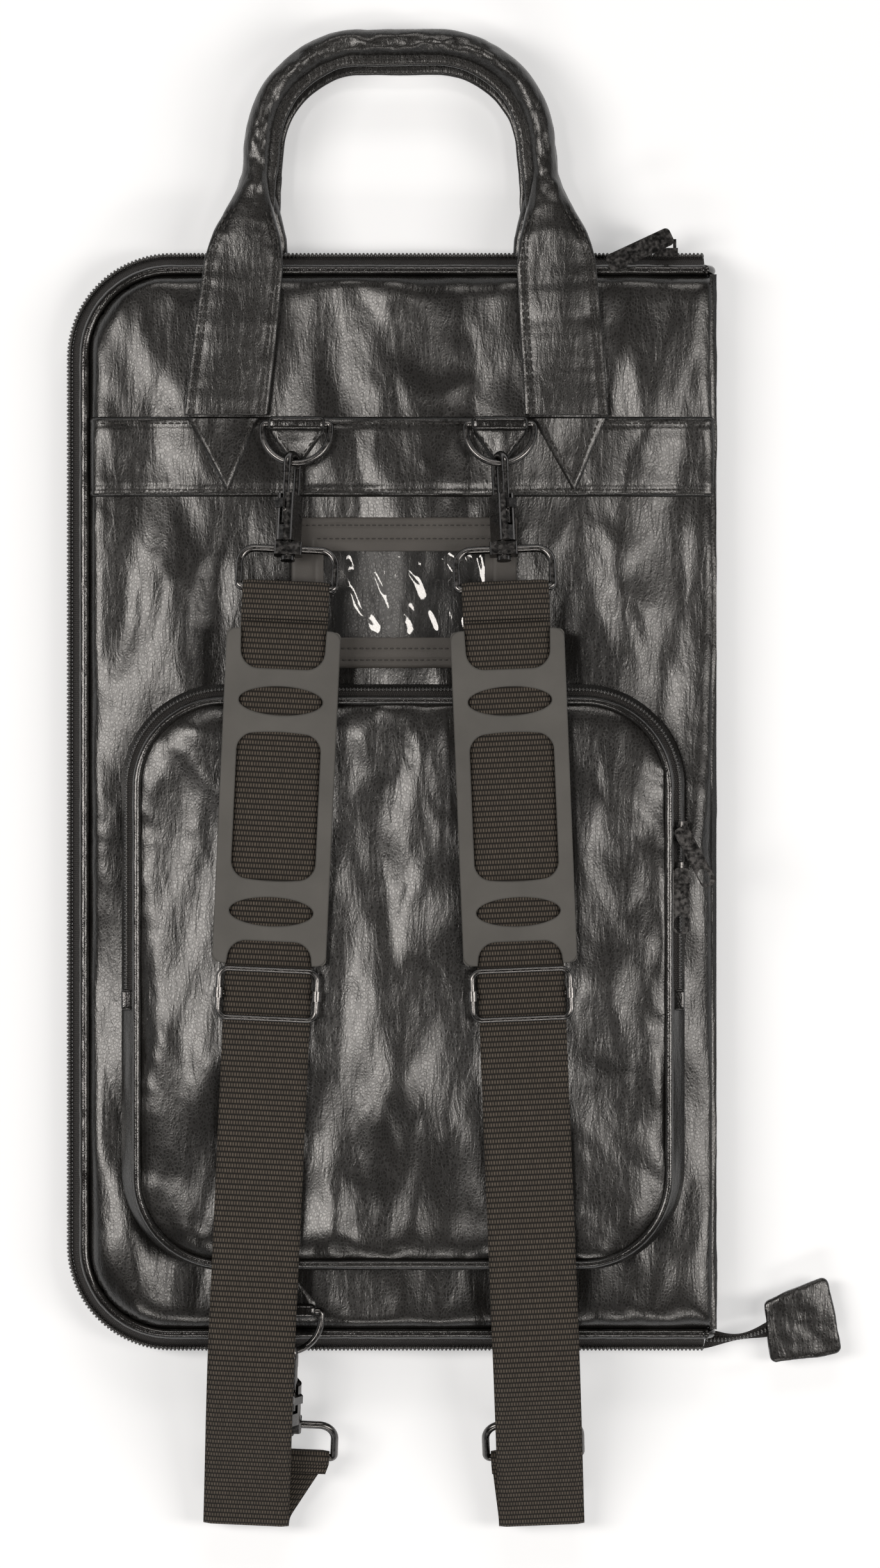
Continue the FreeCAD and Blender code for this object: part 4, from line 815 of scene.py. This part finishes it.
def handle(name, body, leg_z, grip_z, sign, seed):
    """A rolled grip with a stitched flange on its inner side, and two flat padded legs."""
    path = smooth_line([(x * MM, y * MM) for x, y in HANDLE_CORNERS], HANDLE_ROUNDS, 0.0, 1.3 * MM)
    y_at = path[:, 1]
    late = 0.0 if sign > 0 else 0.004
    half = np.interp(y_at - late, [SEWN_Y, 0.205, 0.238, 0.250, 0.260, 0.270, 0.277],
                     [0.0184, 0.0182, 0.0176, 0.0152, 0.0112, 0.0074, GRIP_R]) + late * 0.25
    thick = np.interp(y_at, [SEWN_Y, 0.238, 0.252, 0.264, 0.274], [0.0015, 0.0017, 0.0036, 0.0052, GRIP_R])
    path[:, 2] = np.interp(y_at, [SEWN_Y, 0.238, 0.252, 0.266, 0.276],
                           [leg_z, leg_z, leg_z - sign * 0.0010, leg_z - sign * 0.0032, grip_z])
    ahead = np.gradient(path, axis=0)
    ahead[:, 2] = 0
    ahead = unit(ahead)
    side = np.column_stack([ahead[:, 1], -ahead[:, 0], np.zeros(len(path))])
    level_end = np.column_stack([np.sign(side[:, 0]), np.zeros(len(path)), np.zeros(len(path))])
    square = np.clip(1 - (y_at - SEWN_Y) / 0.035, 0, 1)[:, None]
    side = side * (1 - square) + level_end * square
    sides = 40
    turn = np.linspace(0, 2 * math.pi, sides, endpoint=False)
    flatness = np.interp(y_at, [0.171, 0.238, 0.262, 0.276], [0.28, 0.32, 0.7, 1.0])
    rows = []
    for i in range(len(path)):
        u = np.sign(np.cos(turn)) * np.abs(np.cos(turn)) ** flatness[i]
        w = np.sign(np.sin(turn)) * np.abs(np.sin(turn)) ** flatness[i]
        legs = 1 - min(max((y_at[i] - 0.24) / 0.035, 0), 1)
        seam = np.exp(-((np.abs(u) - 0.78) / 0.06) ** 2)
        pad = 1 + 0.45 * legs * (1 - np.abs(u) ** 2) - 0.25 * legs * seam
        folds = waves(np.full(sides, i * 0.16), u * 1.3 + seed, seed, 3) * (0.25 + 0.45 * (1 - legs)) * MM
        rows.append(path[i] + (u * (half[i] + folds * 0.4))[:, None] * side[i]
                    + (w * (thick[i] * pad + folds))[:, None] * np.array([0, 0, 1.0]))
    rows = np.array(rows)
    rows[:, :, 2] = np.maximum(rows[:, :, 2], 0.1 * MM)
    index = np.arange(len(rows) * sides).reshape(len(rows), sides)
    quads = np.stack([index[:-1], np.roll(index[:-1], -1, 1), np.roll(index[1:], -1, 1), index[1:]], -1)
    faces = [tuple(q) for q in quads.reshape(-1, 4)]
    faces += [tuple(index[0])[::-1], tuple(index[-1])]
    cover = make_mesh(name, rows.reshape(-1, 3), faces, HANDLE)
    add(cover, body, "handle_leather", name.replace("_cover", ""))
    grip = y_at > GRIP_Y
    middle = path[grip]
    towards = np.array([0.004, 0.28, grip_z]) - middle
    inward = side[grip] * np.sign(np.sum(towards * side[grip], axis=1))[:, None]
    flange = []
    fade = np.clip((y_at[grip] - GRIP_Y) / 0.018, 0, 1)[:, None] ** 0.7
    for reach in np.linspace(0, 5.4 * MM, 6):
        run = np.arange(len(middle)) * 0.09
        wave = waves(run, run * 0 + reach * 99, seed + 3, 2)[:, None] * 0.3 * MM
        flange.append(middle + inward * (half[grip][:, None] * 0.8 + 1.2 * MM + (reach - 1.2 * MM + wave) * fade))
    flange = np.array(flange).transpose(1, 0, 2)
    top, bottom = flange.copy(), flange[:, ::-1].copy()
    top[:, :, 2] += 1.1 * MM
    bottom[:, :, 2] -= 1.1 * MM
    top[:, -1, 2] -= 0.5 * MM
    bottom[:, 0, 2] += 0.5 * MM
    both = np.concatenate([top, bottom], 1)
    add(strip(name.replace("cover", "seam"), both, HANDLE), body, "handle_leather")
    for reach in (GRIP_R + 1.4 * MM, GRIP_R + 3.4 * MM):
        line = (middle + inward * reach)[y_at[grip] > 0.280]
        line[:, 2] += 1.15 * MM * sign
        add(stitches(f"{name}_stitch_{int(reach * 1e5)}", line, (0, 0, sign)), body, "handle_leather")
    order = np.arange(len(path))
    for leg_from in (0, len(path) // 2):
        part = ((order < len(path) // 2) == (leg_from == 0)) & (y_at < GRIP_Y)
        for u, inset in ((-1, 1.7 * MM), (-1, 3.9 * MM), (1, 1.7 * MM), (1, 3.9 * MM)):
            line = path[part] + side[part] * (u * (half[part] - inset))[:, None]
            line[:, 2] += sign * (thick[part] + 0.2 * MM)
            line[:, 2] = np.maximum(line[:, 2], 0.6 * MM)
            label = f"{name}_leg_{leg_from}_{u + 1}_{int(inset * 1e4)}"
            add(stitches(label, line, (0, 0, sign), thick=0.7 * MM), body, "handle_leather")


FRONT_HINGE, BACK_HINGE = joint_at("front_handle_swing"), joint_at("back_handle_swing")
handle("front_handle_cover", "front_handle", FRONT_HINGE.z + 0.2 * MM, 33.8 * MM, 1, 5)
handle("back_handle_cover", "back_handle", BACK_HINGE.z, 6.2 * MM, -1, 15)

# ------------------------------------------------------------ straps of woven webbing
WEB_W, WEB_T = 38.1 * MM, 1.8 * MM
BAR_R = 2.75 * MM


def strap_axes(side_name):
    """A strap's top bar, with the directions across the strap and along it."""
    across = -Vector(joint("strap_swing_" + side_name)["axis"])
    return joint_at("strap_swing_" + side_name), across, Vector((0, 0, 1)).cross(across)


def eased(t):
    """How far the webbing has come down at a share of its slope."""
    return t * t * (3 - 2 * t) * 0.35 + t ** 1.5 * 0.65


def webbing_track(bar, low_bar, across, along):
    """The webbing's middle line as (across, along, up) from its top bar."""
    delta = low_bar - bar
    low_u, low_v, low_w = delta.dot(across), delta.dot(along), low_bar.z - bar.z
    rise = 59.0 * MM - bar.z
    slope_v, fold_v = -252 * MM - bar.y + 16 * MM, -319 * MM - bar.y
    fold_w, turn_r = 20 * MM - bar.z, 3.2 * MM
    track = [(0, -14.5 * MM, rise + 1.9 * MM), (0, -12 * MM, rise + 1.7 * MM), (0, -6 * MM, 3.1 * MM)]
    for angle in np.radians(np.linspace(120, -110, 22)):
        track.append((0, BAR_R * math.cos(angle), BAR_R * math.sin(angle)))
    track += [(0, -6.0 * MM, -0.3 * MM), (0, -11.0 * MM, 1.6 * MM), (0, -17 * MM, rise)]
    track += [(0, v, rise) for v in np.linspace(-20 * MM, slope_v, 90)]
    for t in np.linspace(0, 1, 26)[1:]:
        track.append((0, slope_v + (fold_v - slope_v) * t, rise + (fold_w - rise) * eased(t)))
    for angle in np.radians(np.linspace(15, 180, 12)):
        track.append((0, fold_v - turn_r * math.sin(angle), fold_w - turn_r + turn_r * math.cos(angle)))
    under_w = fold_w - 2 * turn_r
    for t in np.linspace(0.05, 1, 16):
        track.append((low_u * t, fold_v + (low_v - fold_v) * t, under_w + (low_w - BAR_R - under_w) * t * t))
    for angle in np.radians(np.linspace(-90, 180, 24)):
        track.append((low_u, low_v + BAR_R * math.cos(angle), low_w + BAR_R * math.sin(angle)))
    track.append((low_u * 0.9, low_v - 8 * MM, low_w - 0.2 * MM))
    return np.array(track)


def webbing(side_name):
    """One strap's webbing, from its sewn flap over the top bar to the turn round the low bar."""
    bar, across, along = strap_axes(side_name)
    track = webbing_track(bar, joint_at("loop_low_swing_" + side_name), across, along)
    reach = reach_along(track[:, 1:])
    count = int(reach[-1] / (1.2 * MM))
    at = np.linspace(0, reach[-1], count)
    smooth = places_at(track, reach, at)
    kernel = np.array([1, 2, 3, 2, 1]) / 9
    for k in range(3):
        run = np.concatenate([[smooth[0, k]] * 2, smooth[:, k], [smooth[-1, k]] * 2])
        smooth[:, k] = np.convolve(run, kernel, "valid")
    heading = unit(np.gradient(smooth, axis=0)[:, 1:])
    up = np.column_stack([heading[:, 1], -heading[:, 0]])
    profile = []
    for u in np.linspace(-1, 1, 13):
        profile.append((u * WEB_W / 2, WEB_T / 2 * (1 - abs(u) ** 24 * 0.5)))
    profile += [(u, -w) for u, w in profile[::-1]]
    rows = []
    for i in range(count):
        sag = 0.2 * MM * math.sin(at[i] * 21) * min(max((at[i] - 0.2) / 0.05, 0), 1)
        rows.append([bar + across * (smooth[i, 0] + u) + along * (smooth[i, 1] + up[i, 0] * w)
                     + Vector((0, 0, smooth[i, 2] + up[i, 1] * w + sag)) for u, w in profile])
    sides = len(profile)
    index = np.arange(count * sides).reshape(count, sides)
    quads = np.stack([index[:-1], index[1:], np.roll(index[1:], -1, 1), np.roll(index[:-1], -1, 1)], -1)
    faces = [tuple(q) for q in quads.reshape(-1, 4)] + [tuple(index[0]), tuple(index[-1])[::-1]]
    web = make_mesh("webbing_" + side_name, np.array(rows).reshape(-1, 3), faces, WEBBING)
    marks = web.data.uv_layers.new(name="weave")
    for loop in web.data.loops:
        row_number, place_in = divmod(loop.vertex_index, sides)
        marks.data[loop.index].uv = (profile[place_in][0] * 1000, at[row_number] * 1000)
    add(web, "strap_" + side_name, "webbing", "strap_" + side_name)


for side_name in ("left", "right"):
    webbing(side_name)


# ------------------------------------------------------------ shoulder pads
def plate(outline, holes, low, high, bevel):
    """A flat plate between two levels, cut by holes, with rounded edges."""
    shape = bpy.data.curves.new("plate", "CURVE")
    shape.dimensions = "2D"
    shape.fill_mode = "BOTH"
    shape.bevel_depth = bevel
    shape.bevel_resolution = 3
    shape.extrude = (high - low) / 2 - bevel
    shape.offset = -bevel
    for ring in [outline] + holes:
        spline = shape.splines.new("POLY")
        spline.use_cyclic_u = True
        spline.points.add(len(ring) - 1)
        for knot, (u, v) in zip(spline.points, ring):
            knot.co = (u, v, 0, 1)
    holder = bpy.data.objects.new("plate", shape)
    bpy.context.collection.objects.link(holder)
    mesh = bpy.data.meshes.new_from_object(holder.evaluated_get(bpy.context.evaluated_depsgraph_get()))
    bpy.data.objects.remove(holder)
    points = [(v.co.x, v.co.y, v.co.z + (low + high) / 2) for v in mesh.vertices]
    return points, [tuple(f.vertices) for f in mesh.polygons]


def round_rect(u0, v0, u1, v1, radius, bow=0.0):
    """A rounded rectangle's outline; bow swells its two ends outward."""
    ring = []
    for cu, cv, start in corner_centres(u0, v0, u1, v1, radius):
        ring += arc(cu, cv, radius, start, start + 90, 10)
        if start in (0, 180):
            u, v = ring[-1]
            away = u0 + radius if start == 0 else u1 - radius
            ring += [(u + (away - u) * k / 12, v) for k in range(1, 12)]
    middle, half, centre = (u0 + u1) / 2, (u1 - u0) / 2, (v0 + v1) / 2
    return [(u, v + math.copysign(bow * (1 - ((u - middle) / half) ** 2), v - centre)) for u, v in ring]


def ellipse(u, v, half_u, half_v, steps=48):
    return [(u + half_u * math.cos(2 * math.pi * k / steps), v + half_v * math.sin(2 * math.pi * k / steps))
            for k in range(steps)]


PAD_HALF, PAD_THICK, SKIN = 25 * MM, 6 * MM, 1.25 * MM
PAD_ROUND, BOWL_ROUND = 4.5 * MM, 8.0 * MM
HOLE_HALF = 18.4 * MM


def pad_outline(top, low, notch_top, notch_low):
    """The pad's outer edge: rounded prongs either side of a deep notch at each end."""
    ring = []
    for sign, end, depth, turn in ((1, top, notch_top, 0), (-1, low, notch_low, 180)):
        corner_v, bowl_v = end - sign * PAD_ROUND, end - sign * (depth - BOWL_ROUND)
        corner_u, bowl_u = sign * (PAD_HALF - PAD_ROUND), sign * (HOLE_HALF - BOWL_ROUND)
        prong_u = sign * (HOLE_HALF + 0.3 * MM)
        ring += arc(corner_u, corner_v, PAD_ROUND, turn, turn + 90, 9)
        ring.append((prong_u, end))
        ring += arc(bowl_u, bowl_v, BOWL_ROUND, turn, turn - 90, 9)
        ring += arc(-bowl_u, bowl_v, BOWL_ROUND, turn - 90, turn - 180, 9)
        ring.append((-prong_u, end))
        ring += arc(-corner_u, corner_v, PAD_ROUND, turn + 90, turn + 180, 9)
    return ring


def pad_skin(side_name):
    """The ribbed rubber skin over one pad: a cut-out top, a whole sole and two side walls."""
    bar, across, along = strap_axes(side_name)
    solid = frame["nodes"]["pad_" + side_name]
    spots = [solid.matrix_world @ v.co for v in solid.data.vertices]
    vs = [(p - bar).dot(along) for p in spots]
    us = [(p - bar).dot(across) for p in spots]
    top, low, centre_u = max(vs), min(vs), (max(us) + min(us)) / 2
    centre_z = (max(p.z for p in spots) + min(p.z for p in spots)) / 2
    holes = [ellipse(0, top - 31.4 * MM, HOLE_HALF, 6.3 * MM),
             round_rect(-HOLE_HALF, top - 108.6 * MM, HOLE_HALF, top - 46.8 * MM, 6.5 * MM, 1.7 * MM),
             ellipse(0, top - 123.8 * MM, HOLE_HALF, 6.3 * MM)]
    parts = [plate(pad_outline(top, low, 17.3 * MM, 10.2 * MM), holes, SKIN, PAD_THICK / 2, 0.85 * MM),
             plate(round_rect(-PAD_HALF, low, PAD_HALF, top, PAD_ROUND), [], -PAD_THICK / 2, -SKIN, 0.6 * MM)]
    wall_u, wall_w = 19.9 * MM, 2.1 * MM
    for u0, u1 in ((wall_u, PAD_HALF), (-PAD_HALF, -wall_u)):
        wall = round_rect(u0, low + 0.4 * MM, u1, top - 0.4 * MM, 2.4 * MM)
        parts.append(plate(wall, [], -wall_w, wall_w, 0.1 * MM))
    points, faces = [], []
    for some_points, some_faces in parts:
        start = len(points)
        points += [tuple(bar + across * (u + centre_u) + along * v + Vector((0, 0, centre_z - bar.z + w)))
                   for u, v, w in some_points]
        faces += [tuple(i + start for i in f) for f in some_faces]
    skin = make_mesh("pad_skin_" + side_name, points, faces, RUBBER)
    sharp = skin.modifiers.new("edges", "WEIGHTED_NORMAL")
    sharp.keep_sharp = True
    add(skin, "pad_" + side_name, "rubber", "pad_" + side_name)


for side_name in ("left", "right"):
    pad_skin(side_name)


# ------------------------------------------------------------ zip tail's tab
def soft_tab(name, node_name, voxel=0.9 * MM, fold=0.45 * MM, period=12 * MM, seed=81):
    """A copy of one built piece with rounded edges and a slightly uneven surface."""
    source = frame["nodes"][node_name]
    copy = bpy.data.objects.new(name, source.data.copy())
    copy.matrix_world = source.matrix_world
    bpy.context.collection.objects.link(copy)
    remesh = copy.modifiers.new("remesh", "REMESH")
    remesh.mode = "VOXEL"
    remesh.voxel_size = voxel
    ease = copy.modifiers.new("ease", "SMOOTH")
    ease.iterations = 5
    ease.factor = 0.5
    made = bpy.data.meshes.new_from_object(copy.evaluated_get(bpy.context.evaluated_depsgraph_get()))
    made.transform(copy.matrix_world)
    bpy.data.objects.remove(copy)
    made.materials.clear()
    made.materials.append(LEATHER)
    made.polygons.foreach_set("material_index", [0] * len(made.polygons))
    made.polygons.foreach_set("use_smooth", [True] * len(made.polygons))
    spots, normals = np.empty(len(made.vertices) * 3), np.empty(len(made.vertices) * 3)
    made.vertices.foreach_get("co", spots)
    made.vertices.foreach_get("normal", normals)
    spots, normals = spots.reshape(-1, 3), normals.reshape(-1, 3)
    push = fold * waves(spots[:, 0] / period + spots[:, 2] / period, spots[:, 1] / period, seed, 3)
    made.vertices.foreach_set("co", (spots + normals * push[:, None]).ravel())
    soft = bpy.data.objects.new(name, made)
    bpy.context.collection.objects.link(soft)
    return soft


# ------------------------------------------------------------ ring keepers
def cushion(name, low, high, radius, step, fold):
    """A small box with rounded edges and a slightly uneven surface."""
    low, high = np.asarray(low, float), np.asarray(high, float)
    radius = min(radius, float((high - low).min()) / 2 - 1e-5)
    counts = np.maximum(np.ceil((high - low) / step).astype(int), 6)
    points, faces, known = [], [], {}

    def point(i, j, k):
        key = (i, j, k)
        if key not in known:
            share = np.array([i, j, k]) / counts
            spot = low + (high - low) * share
            core = np.clip(spot, low + radius, high - radius)
            away = spot - core
            length = np.linalg.norm(away)
            known[key] = len(points)
            points.append(core + away / length * radius if length > 1e-9 else spot)
        return known[key]

    for axis in range(3):
        a, b = (axis + 1) % 3, (axis + 2) % 3
        for side in (0, counts[axis]):
            for i in range(counts[a]):
                for j in range(counts[b]):
                    ring = []
                    for di, dj in ((0, 0), (1, 0), (1, 1), (0, 1)):
                        key = [0, 0, 0]
                        key[axis], key[a], key[b] = side, i + di, j + dj
                        ring.append(point(*key))
                    faces.append(ring if side else ring[::-1])
    points = np.array(points)
    x, y, z = points.T / (4 * MM)
    points = points + unit(points - (low + high) / 2) * fold * waves(x, y + z, 3, 2)[:, None]
    return make_mesh(name, points, faces, PIPING)


KEEP_LOW, KEEP_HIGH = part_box("ring_keepers")
BAND_TOP_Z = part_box("front_band")[1][2]
KEEP_X, KEEP_Y, KEEP_Z = 25.4 * MM, 6.5 * MM, 5.0 * MM
first_keeper = True
for side_name in ("left", "right"):
    for place_name, edge_y, base in (("top", KEEP_HIGH[1], BAND_TOP_Z), ("low", KEEP_LOW[1], SHELL_HIGH[2])):
        ring_low, ring_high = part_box(f"ring_{place_name}_{side_name}")
        middle_x = (ring_low[0] + ring_high[0]) / 2
        low_y = edge_y - KEEP_Y if place_name == "top" else edge_y
        keeper = cushion(f"keeper_{place_name}_{side_name}", (middle_x - KEEP_X / 2, low_y, base),
                         (middle_x + KEEP_X / 2, low_y + KEEP_Y, base + KEEP_Z), 2.3 * MM, 0.9 * MM, 0.12 * MM)
        add(keeper, "case_front", "leather", *(["ring_keepers"] if first_keeper else []))
        first_keeper = False
        away = -1 if place_name == "top" else 1
        start_y = low_y if away < 0 else low_y + KEEP_Y
        on_band = 1.5 * MM if place_name == "top" else 0.0
        rows = []
        for share in np.linspace(-0.15, 1, 20):
            half = 12.2 * MM * (1 - max(share, 0)) + 2.2 * MM * max(share, 0)
            px = middle_x + ACROSS * half
            py = np.full(15, start_y + away * 14 * MM * share)
            level = front_level(px, py) + on_band + 0.25 * MM
            rows.append(flap_row(px, py, ACROSS, half, level, 0.8 * MM, 1.2 * MM)[::away])
        add(strip(f"keeper_tab_{place_name}_{side_name}", rows, LEATHER), "case_front", "leather")
        for side, mark in ((-1, "a"), (1, "b")):
            line = dense([(middle_x + side * 8.8 * MM, start_y + away * 1.5 * MM),
                          (middle_x + side * 1.0 * MM, start_y + away * 12.5 * MM)], 0.5 * MM)
            label = f"keeper_stitches_{place_name}_{side_name}_{mark}"
            add(stitches(label, on_front(line, 1.15 * MM + on_band), thick=0.6 * MM), "case_front", "leather")


# ------------------------------------------------------------ address window
FRAME_LOW, FRAME_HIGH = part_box("window_frame")
FILM_LOW, FILM_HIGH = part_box("window_film")
SMALL = (1 * MM, 1 * MM)
BORDER_X, BORDER_LOW, BORDER_HIGH, SEAM_IN = 10.5 * MM, 8.6 * MM, 9.4 * MM, 3.5 * MM
rect = (*FRAME_LOW[:2], *FRAME_HIGH[:2])
x, y, quads = sheet_grid(rect, SMALL, 0.75 * MM)
edge = inside_distance(x, y, rect, SMALL)
hole = inside_distance(x, y, (*FILM_LOW[:2], *FILM_HIGH[:2]), SMALL)
border_rect = (rect[0] + BORDER_X, rect[1] + BORDER_LOW, rect[2] - BORDER_X, rect[3] - BORDER_HIGH)
border = inside_distance(x, y, border_rect, SMALL)
from_ends = np.minimum(y - rect[1], rect[3] - y)
groove = 0.45 * MM * np.exp(-((from_ends - SEAM_IN) / (0.7 * MM)) ** 2)
groove = groove + 0.4 * MM * np.exp(-(border / (0.6 * MM)) ** 2)
level = FRAME_HIGH[2] + 0.6 * MM * np.sqrt(np.clip(edge / (1.4 * MM), 0, 1)) - 0.4 * MM
level = level - groove + 0.22 * MM * waves(x / (22 * MM), y / (9 * MM), 61, 2)
keep = (hole[quads] < 0.3 * MM).all(axis=1)
window = with_skirt("window_vinyl", x, y, level, quads[keep], FRAME_LOW[2] - 0.6 * MM, VINYL)
add(window, "case_front", "vinyl", "window_frame")
seam_levels = (rect[3] - SEAM_IN, rect[1] + SEAM_IN, rect[1] + BORDER_LOW, rect[3] - BORDER_HIGH)
for k, run_y in enumerate(seam_levels):
    inset = 3 * MM if k < 2 else BORDER_X
    line = dense([(rect[0] + inset, run_y), (rect[2] - inset, run_y)], 0.7 * MM)
    line = np.column_stack([line, np.full(len(line), FRAME_HIGH[2] - 0.2 * MM)])
    add(stitches(f"window_stitches_{k}", line, pitch=2.6 * MM, thick=0.5 * MM), "case_front", "vinyl")
rect = (FILM_LOW[0] - 0.6 * MM, FILM_LOW[1] - 0.6 * MM, FILM_HIGH[0] + 0.6 * MM, FILM_HIGH[1] + 0.6 * MM)
x, y, quads = sheet_grid(rect, SMALL, 0.8 * MM)
inner = np.clip(inside_distance(x, y, rect, SMALL) / (3 * MM), 0, 1)
crumple = waves(x / (9 * MM) + 0.7 * y / (16 * MM), y / (19 * MM), 71, 3, 0.45)
level = FILM_HIGH[2] + 0.2 * MM + inner * 0.85 * MM * crumple
film = make_mesh("window_clear", np.column_stack([x, y, level]), [tuple(q) for q in quads], FILM)
add(film, "case_front", "film", "window_film")


# ------------------------------------------------------------ pocket zip
ZIP_LOW, ZIP_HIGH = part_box("pocket_zip")
zip_level = (ZIP_LOW[2] + ZIP_HIGH[2]) / 2
sunk = 1.3 * MM
corners = [(ZIP_LOW[0] + sunk, ZIP_LOW[1]), (ZIP_LOW[0] + sunk, ZIP_HIGH[1] - sunk),
           (ZIP_HIGH[0] - sunk, ZIP_HIGH[1] - sunk), (ZIP_HIGH[0] - sunk, ZIP_LOW[1])]
zip_line = smooth_line(corners, [0, BAG_CORNER - 2 * MM, BAG_CORNER - 2 * MM, 0], zip_level)
teeth = zip_teeth("pocket_teeth", zip_line, 1.6 * MM, 2.6 * MM, 1.15 * MM, 2.0 * MM)
add(teeth, "case_front", "coil", "pocket_zip")
add(tube("pocket_zip_core", zip_line, 0.7 * MM, COIL, 8), "case_front", "coil")
ahead = unit(np.gradient(zip_line, axis=0))
inward = np.column_stack([ahead[:, 1], -ahead[:, 0], np.zeros(len(zip_line))])
rows = [zip_line + inward * (5.5 * MM * share) + np.array([0, 0, 0.8 * MM + 5.2 * MM * share])
        for share in np.linspace(0, 1, 5)]
add(strip("pocket_zip_cloth", np.stack(rows, 1), TAPE), "case_front", "tape")
TAB_LOW, TAB_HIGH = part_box("pocket_zip_tabs")
TAB_WIDE = 5.2 * MM
for k, x_low in enumerate((TAB_LOW[0], TAB_HIGH[0] - TAB_WIDE)):
    tab = cushion(f"pocket_zip_end_{k}", (x_low, *TAB_LOW[1:]),
                  (x_low + TAB_WIDE, TAB_HIGH[1] + 0.5 * MM, TAB_HIGH[2] + 0.4 * MM), 1.2 * MM, 0.8 * MM, 0.1 * MM)
    add(tab, "case_front", "leather", *(["pocket_zip_tabs"] if k == 0 else []))


# ------------------------------------------------------------ zip tail
add(soft_tab("zip_tail_tab_soft", "zip_tail_tab"), "spine", "leather", "zip_tail_tab")
tail_low, tail_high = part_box("zip_tail_tape")
tail_z = (tail_low[2] + tail_high[2]) / 2
start = np.array([tail_low[0], tail_low[1] + 4.5 * MM, tail_z])
stop = np.array([tail_high[0] - 2 * MM, tail_high[1] - 5.5 * MM, tail_z])
rows, chain = [], []
for share in np.linspace(0, 1, 46):
    swell = math.sin(math.pi * share)
    middle = start * (1 - share) + stop * share + np.array([0, -1.6 * MM * swell, 1.2 * MM * swell])
    turn = math.radians(10 + 55 * swell)
    width = np.array([0.25 * math.cos(turn), math.cos(turn), math.sin(turn)]) * 4.4 * MM
    rows.append([middle - width, middle - width * 0.5, middle + (0, 0, 0.2 * MM),
                 middle + width * 0.5, middle + width])
    chain.append(middle + np.array([0, 0, 0.7 * MM]))
add(strip("zip_tail_cloth", rows, TAPE), "spine", "tape", "zip_tail_tape")
teeth = zip_teeth("zip_tail_teeth", chain, 1.6 * MM, 2.6 * MM, 1.2 * MM, 1.8 * MM)
add(teeth, "spine", "coil")


# ------------------------------------------------------------ linings
LINING_RADII = (40 * MM, 2 * MM)
for label, body, sign in (("back", "case_back", 1), ("front", "case_front", -1)):
    low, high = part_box(label + "_lining")
    rect = (*low[:2], *high[:2])
    x, y, quads = sheet_grid(rect, LINING_RADII, 3.5 * MM)
    shown, hidden = (high[2], low[2]) if sign > 0 else (low[2], high[2])
    rim = np.clip(inside_distance(x, y, rect, LINING_RADII) / (6 * MM), 0, 1)
    level = shown - sign * (0.1 + 0.35 * rim * np.abs(waves(x / (30 * MM), y / (55 * MM), 90, 3))) * MM
    cloth = with_skirt(label + "_lining_cloth", x, y, level, quads, hidden, LINING, flip=sign < 0)
    add(cloth, body, "lining", label + "_lining")


# ------------------------------------------------------------ stick sleeves
def sleeve_row(label, body, sign, count):
    """A fabric panel sewn down in upright rows, each row a flat tube open at the top."""
    low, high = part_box(label)
    base, crest = (low[2], high[2]) if sign > 0 else (high[2], low[2])
    u, v = np.meshgrid(np.linspace(0, 1, count * 26 + 1), np.linspace(0, 1, 90), indexing="ij")
    x = low[0] + (high[0] - low[0]) * u
    y = low[1] + (high[1] - low[1]) * v
    bulge = np.abs(np.sin(np.pi * u * count)) ** 0.45 * np.clip(v / 0.06, 0, 1) ** 0.6
    bulge = bulge * (0.88 + 0.12 * waves(u * 9, v * 5, 97, 2))
    z = base + (crest - base) * np.clip(bulge, 0.04, 1)
    y = y - 2.5 * MM * np.sin(np.pi * u * count) ** 2 * (v > 0.99)
    rows = np.stack([x, y, z], 2)
    inner = rows[:, ::-1].copy()
    inner[:, :, 2] = sign * np.maximum(sign * inner[:, :, 2] - 0.9 * MM, sign * base)
    cloth = np.concatenate([rows, inner], 1)
    add(strip(label + "_cloth", cloth if sign < 0 else cloth[::-1], LINING), body, "sleeve", label)


sleeve_row("back_sleeves", "case_back", 1, 3)
sleeve_row("front_sleeves", "case_front", -1, 2)
for label in ("front", "back"):
    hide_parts(label + "_handle", label + "_handle_core")
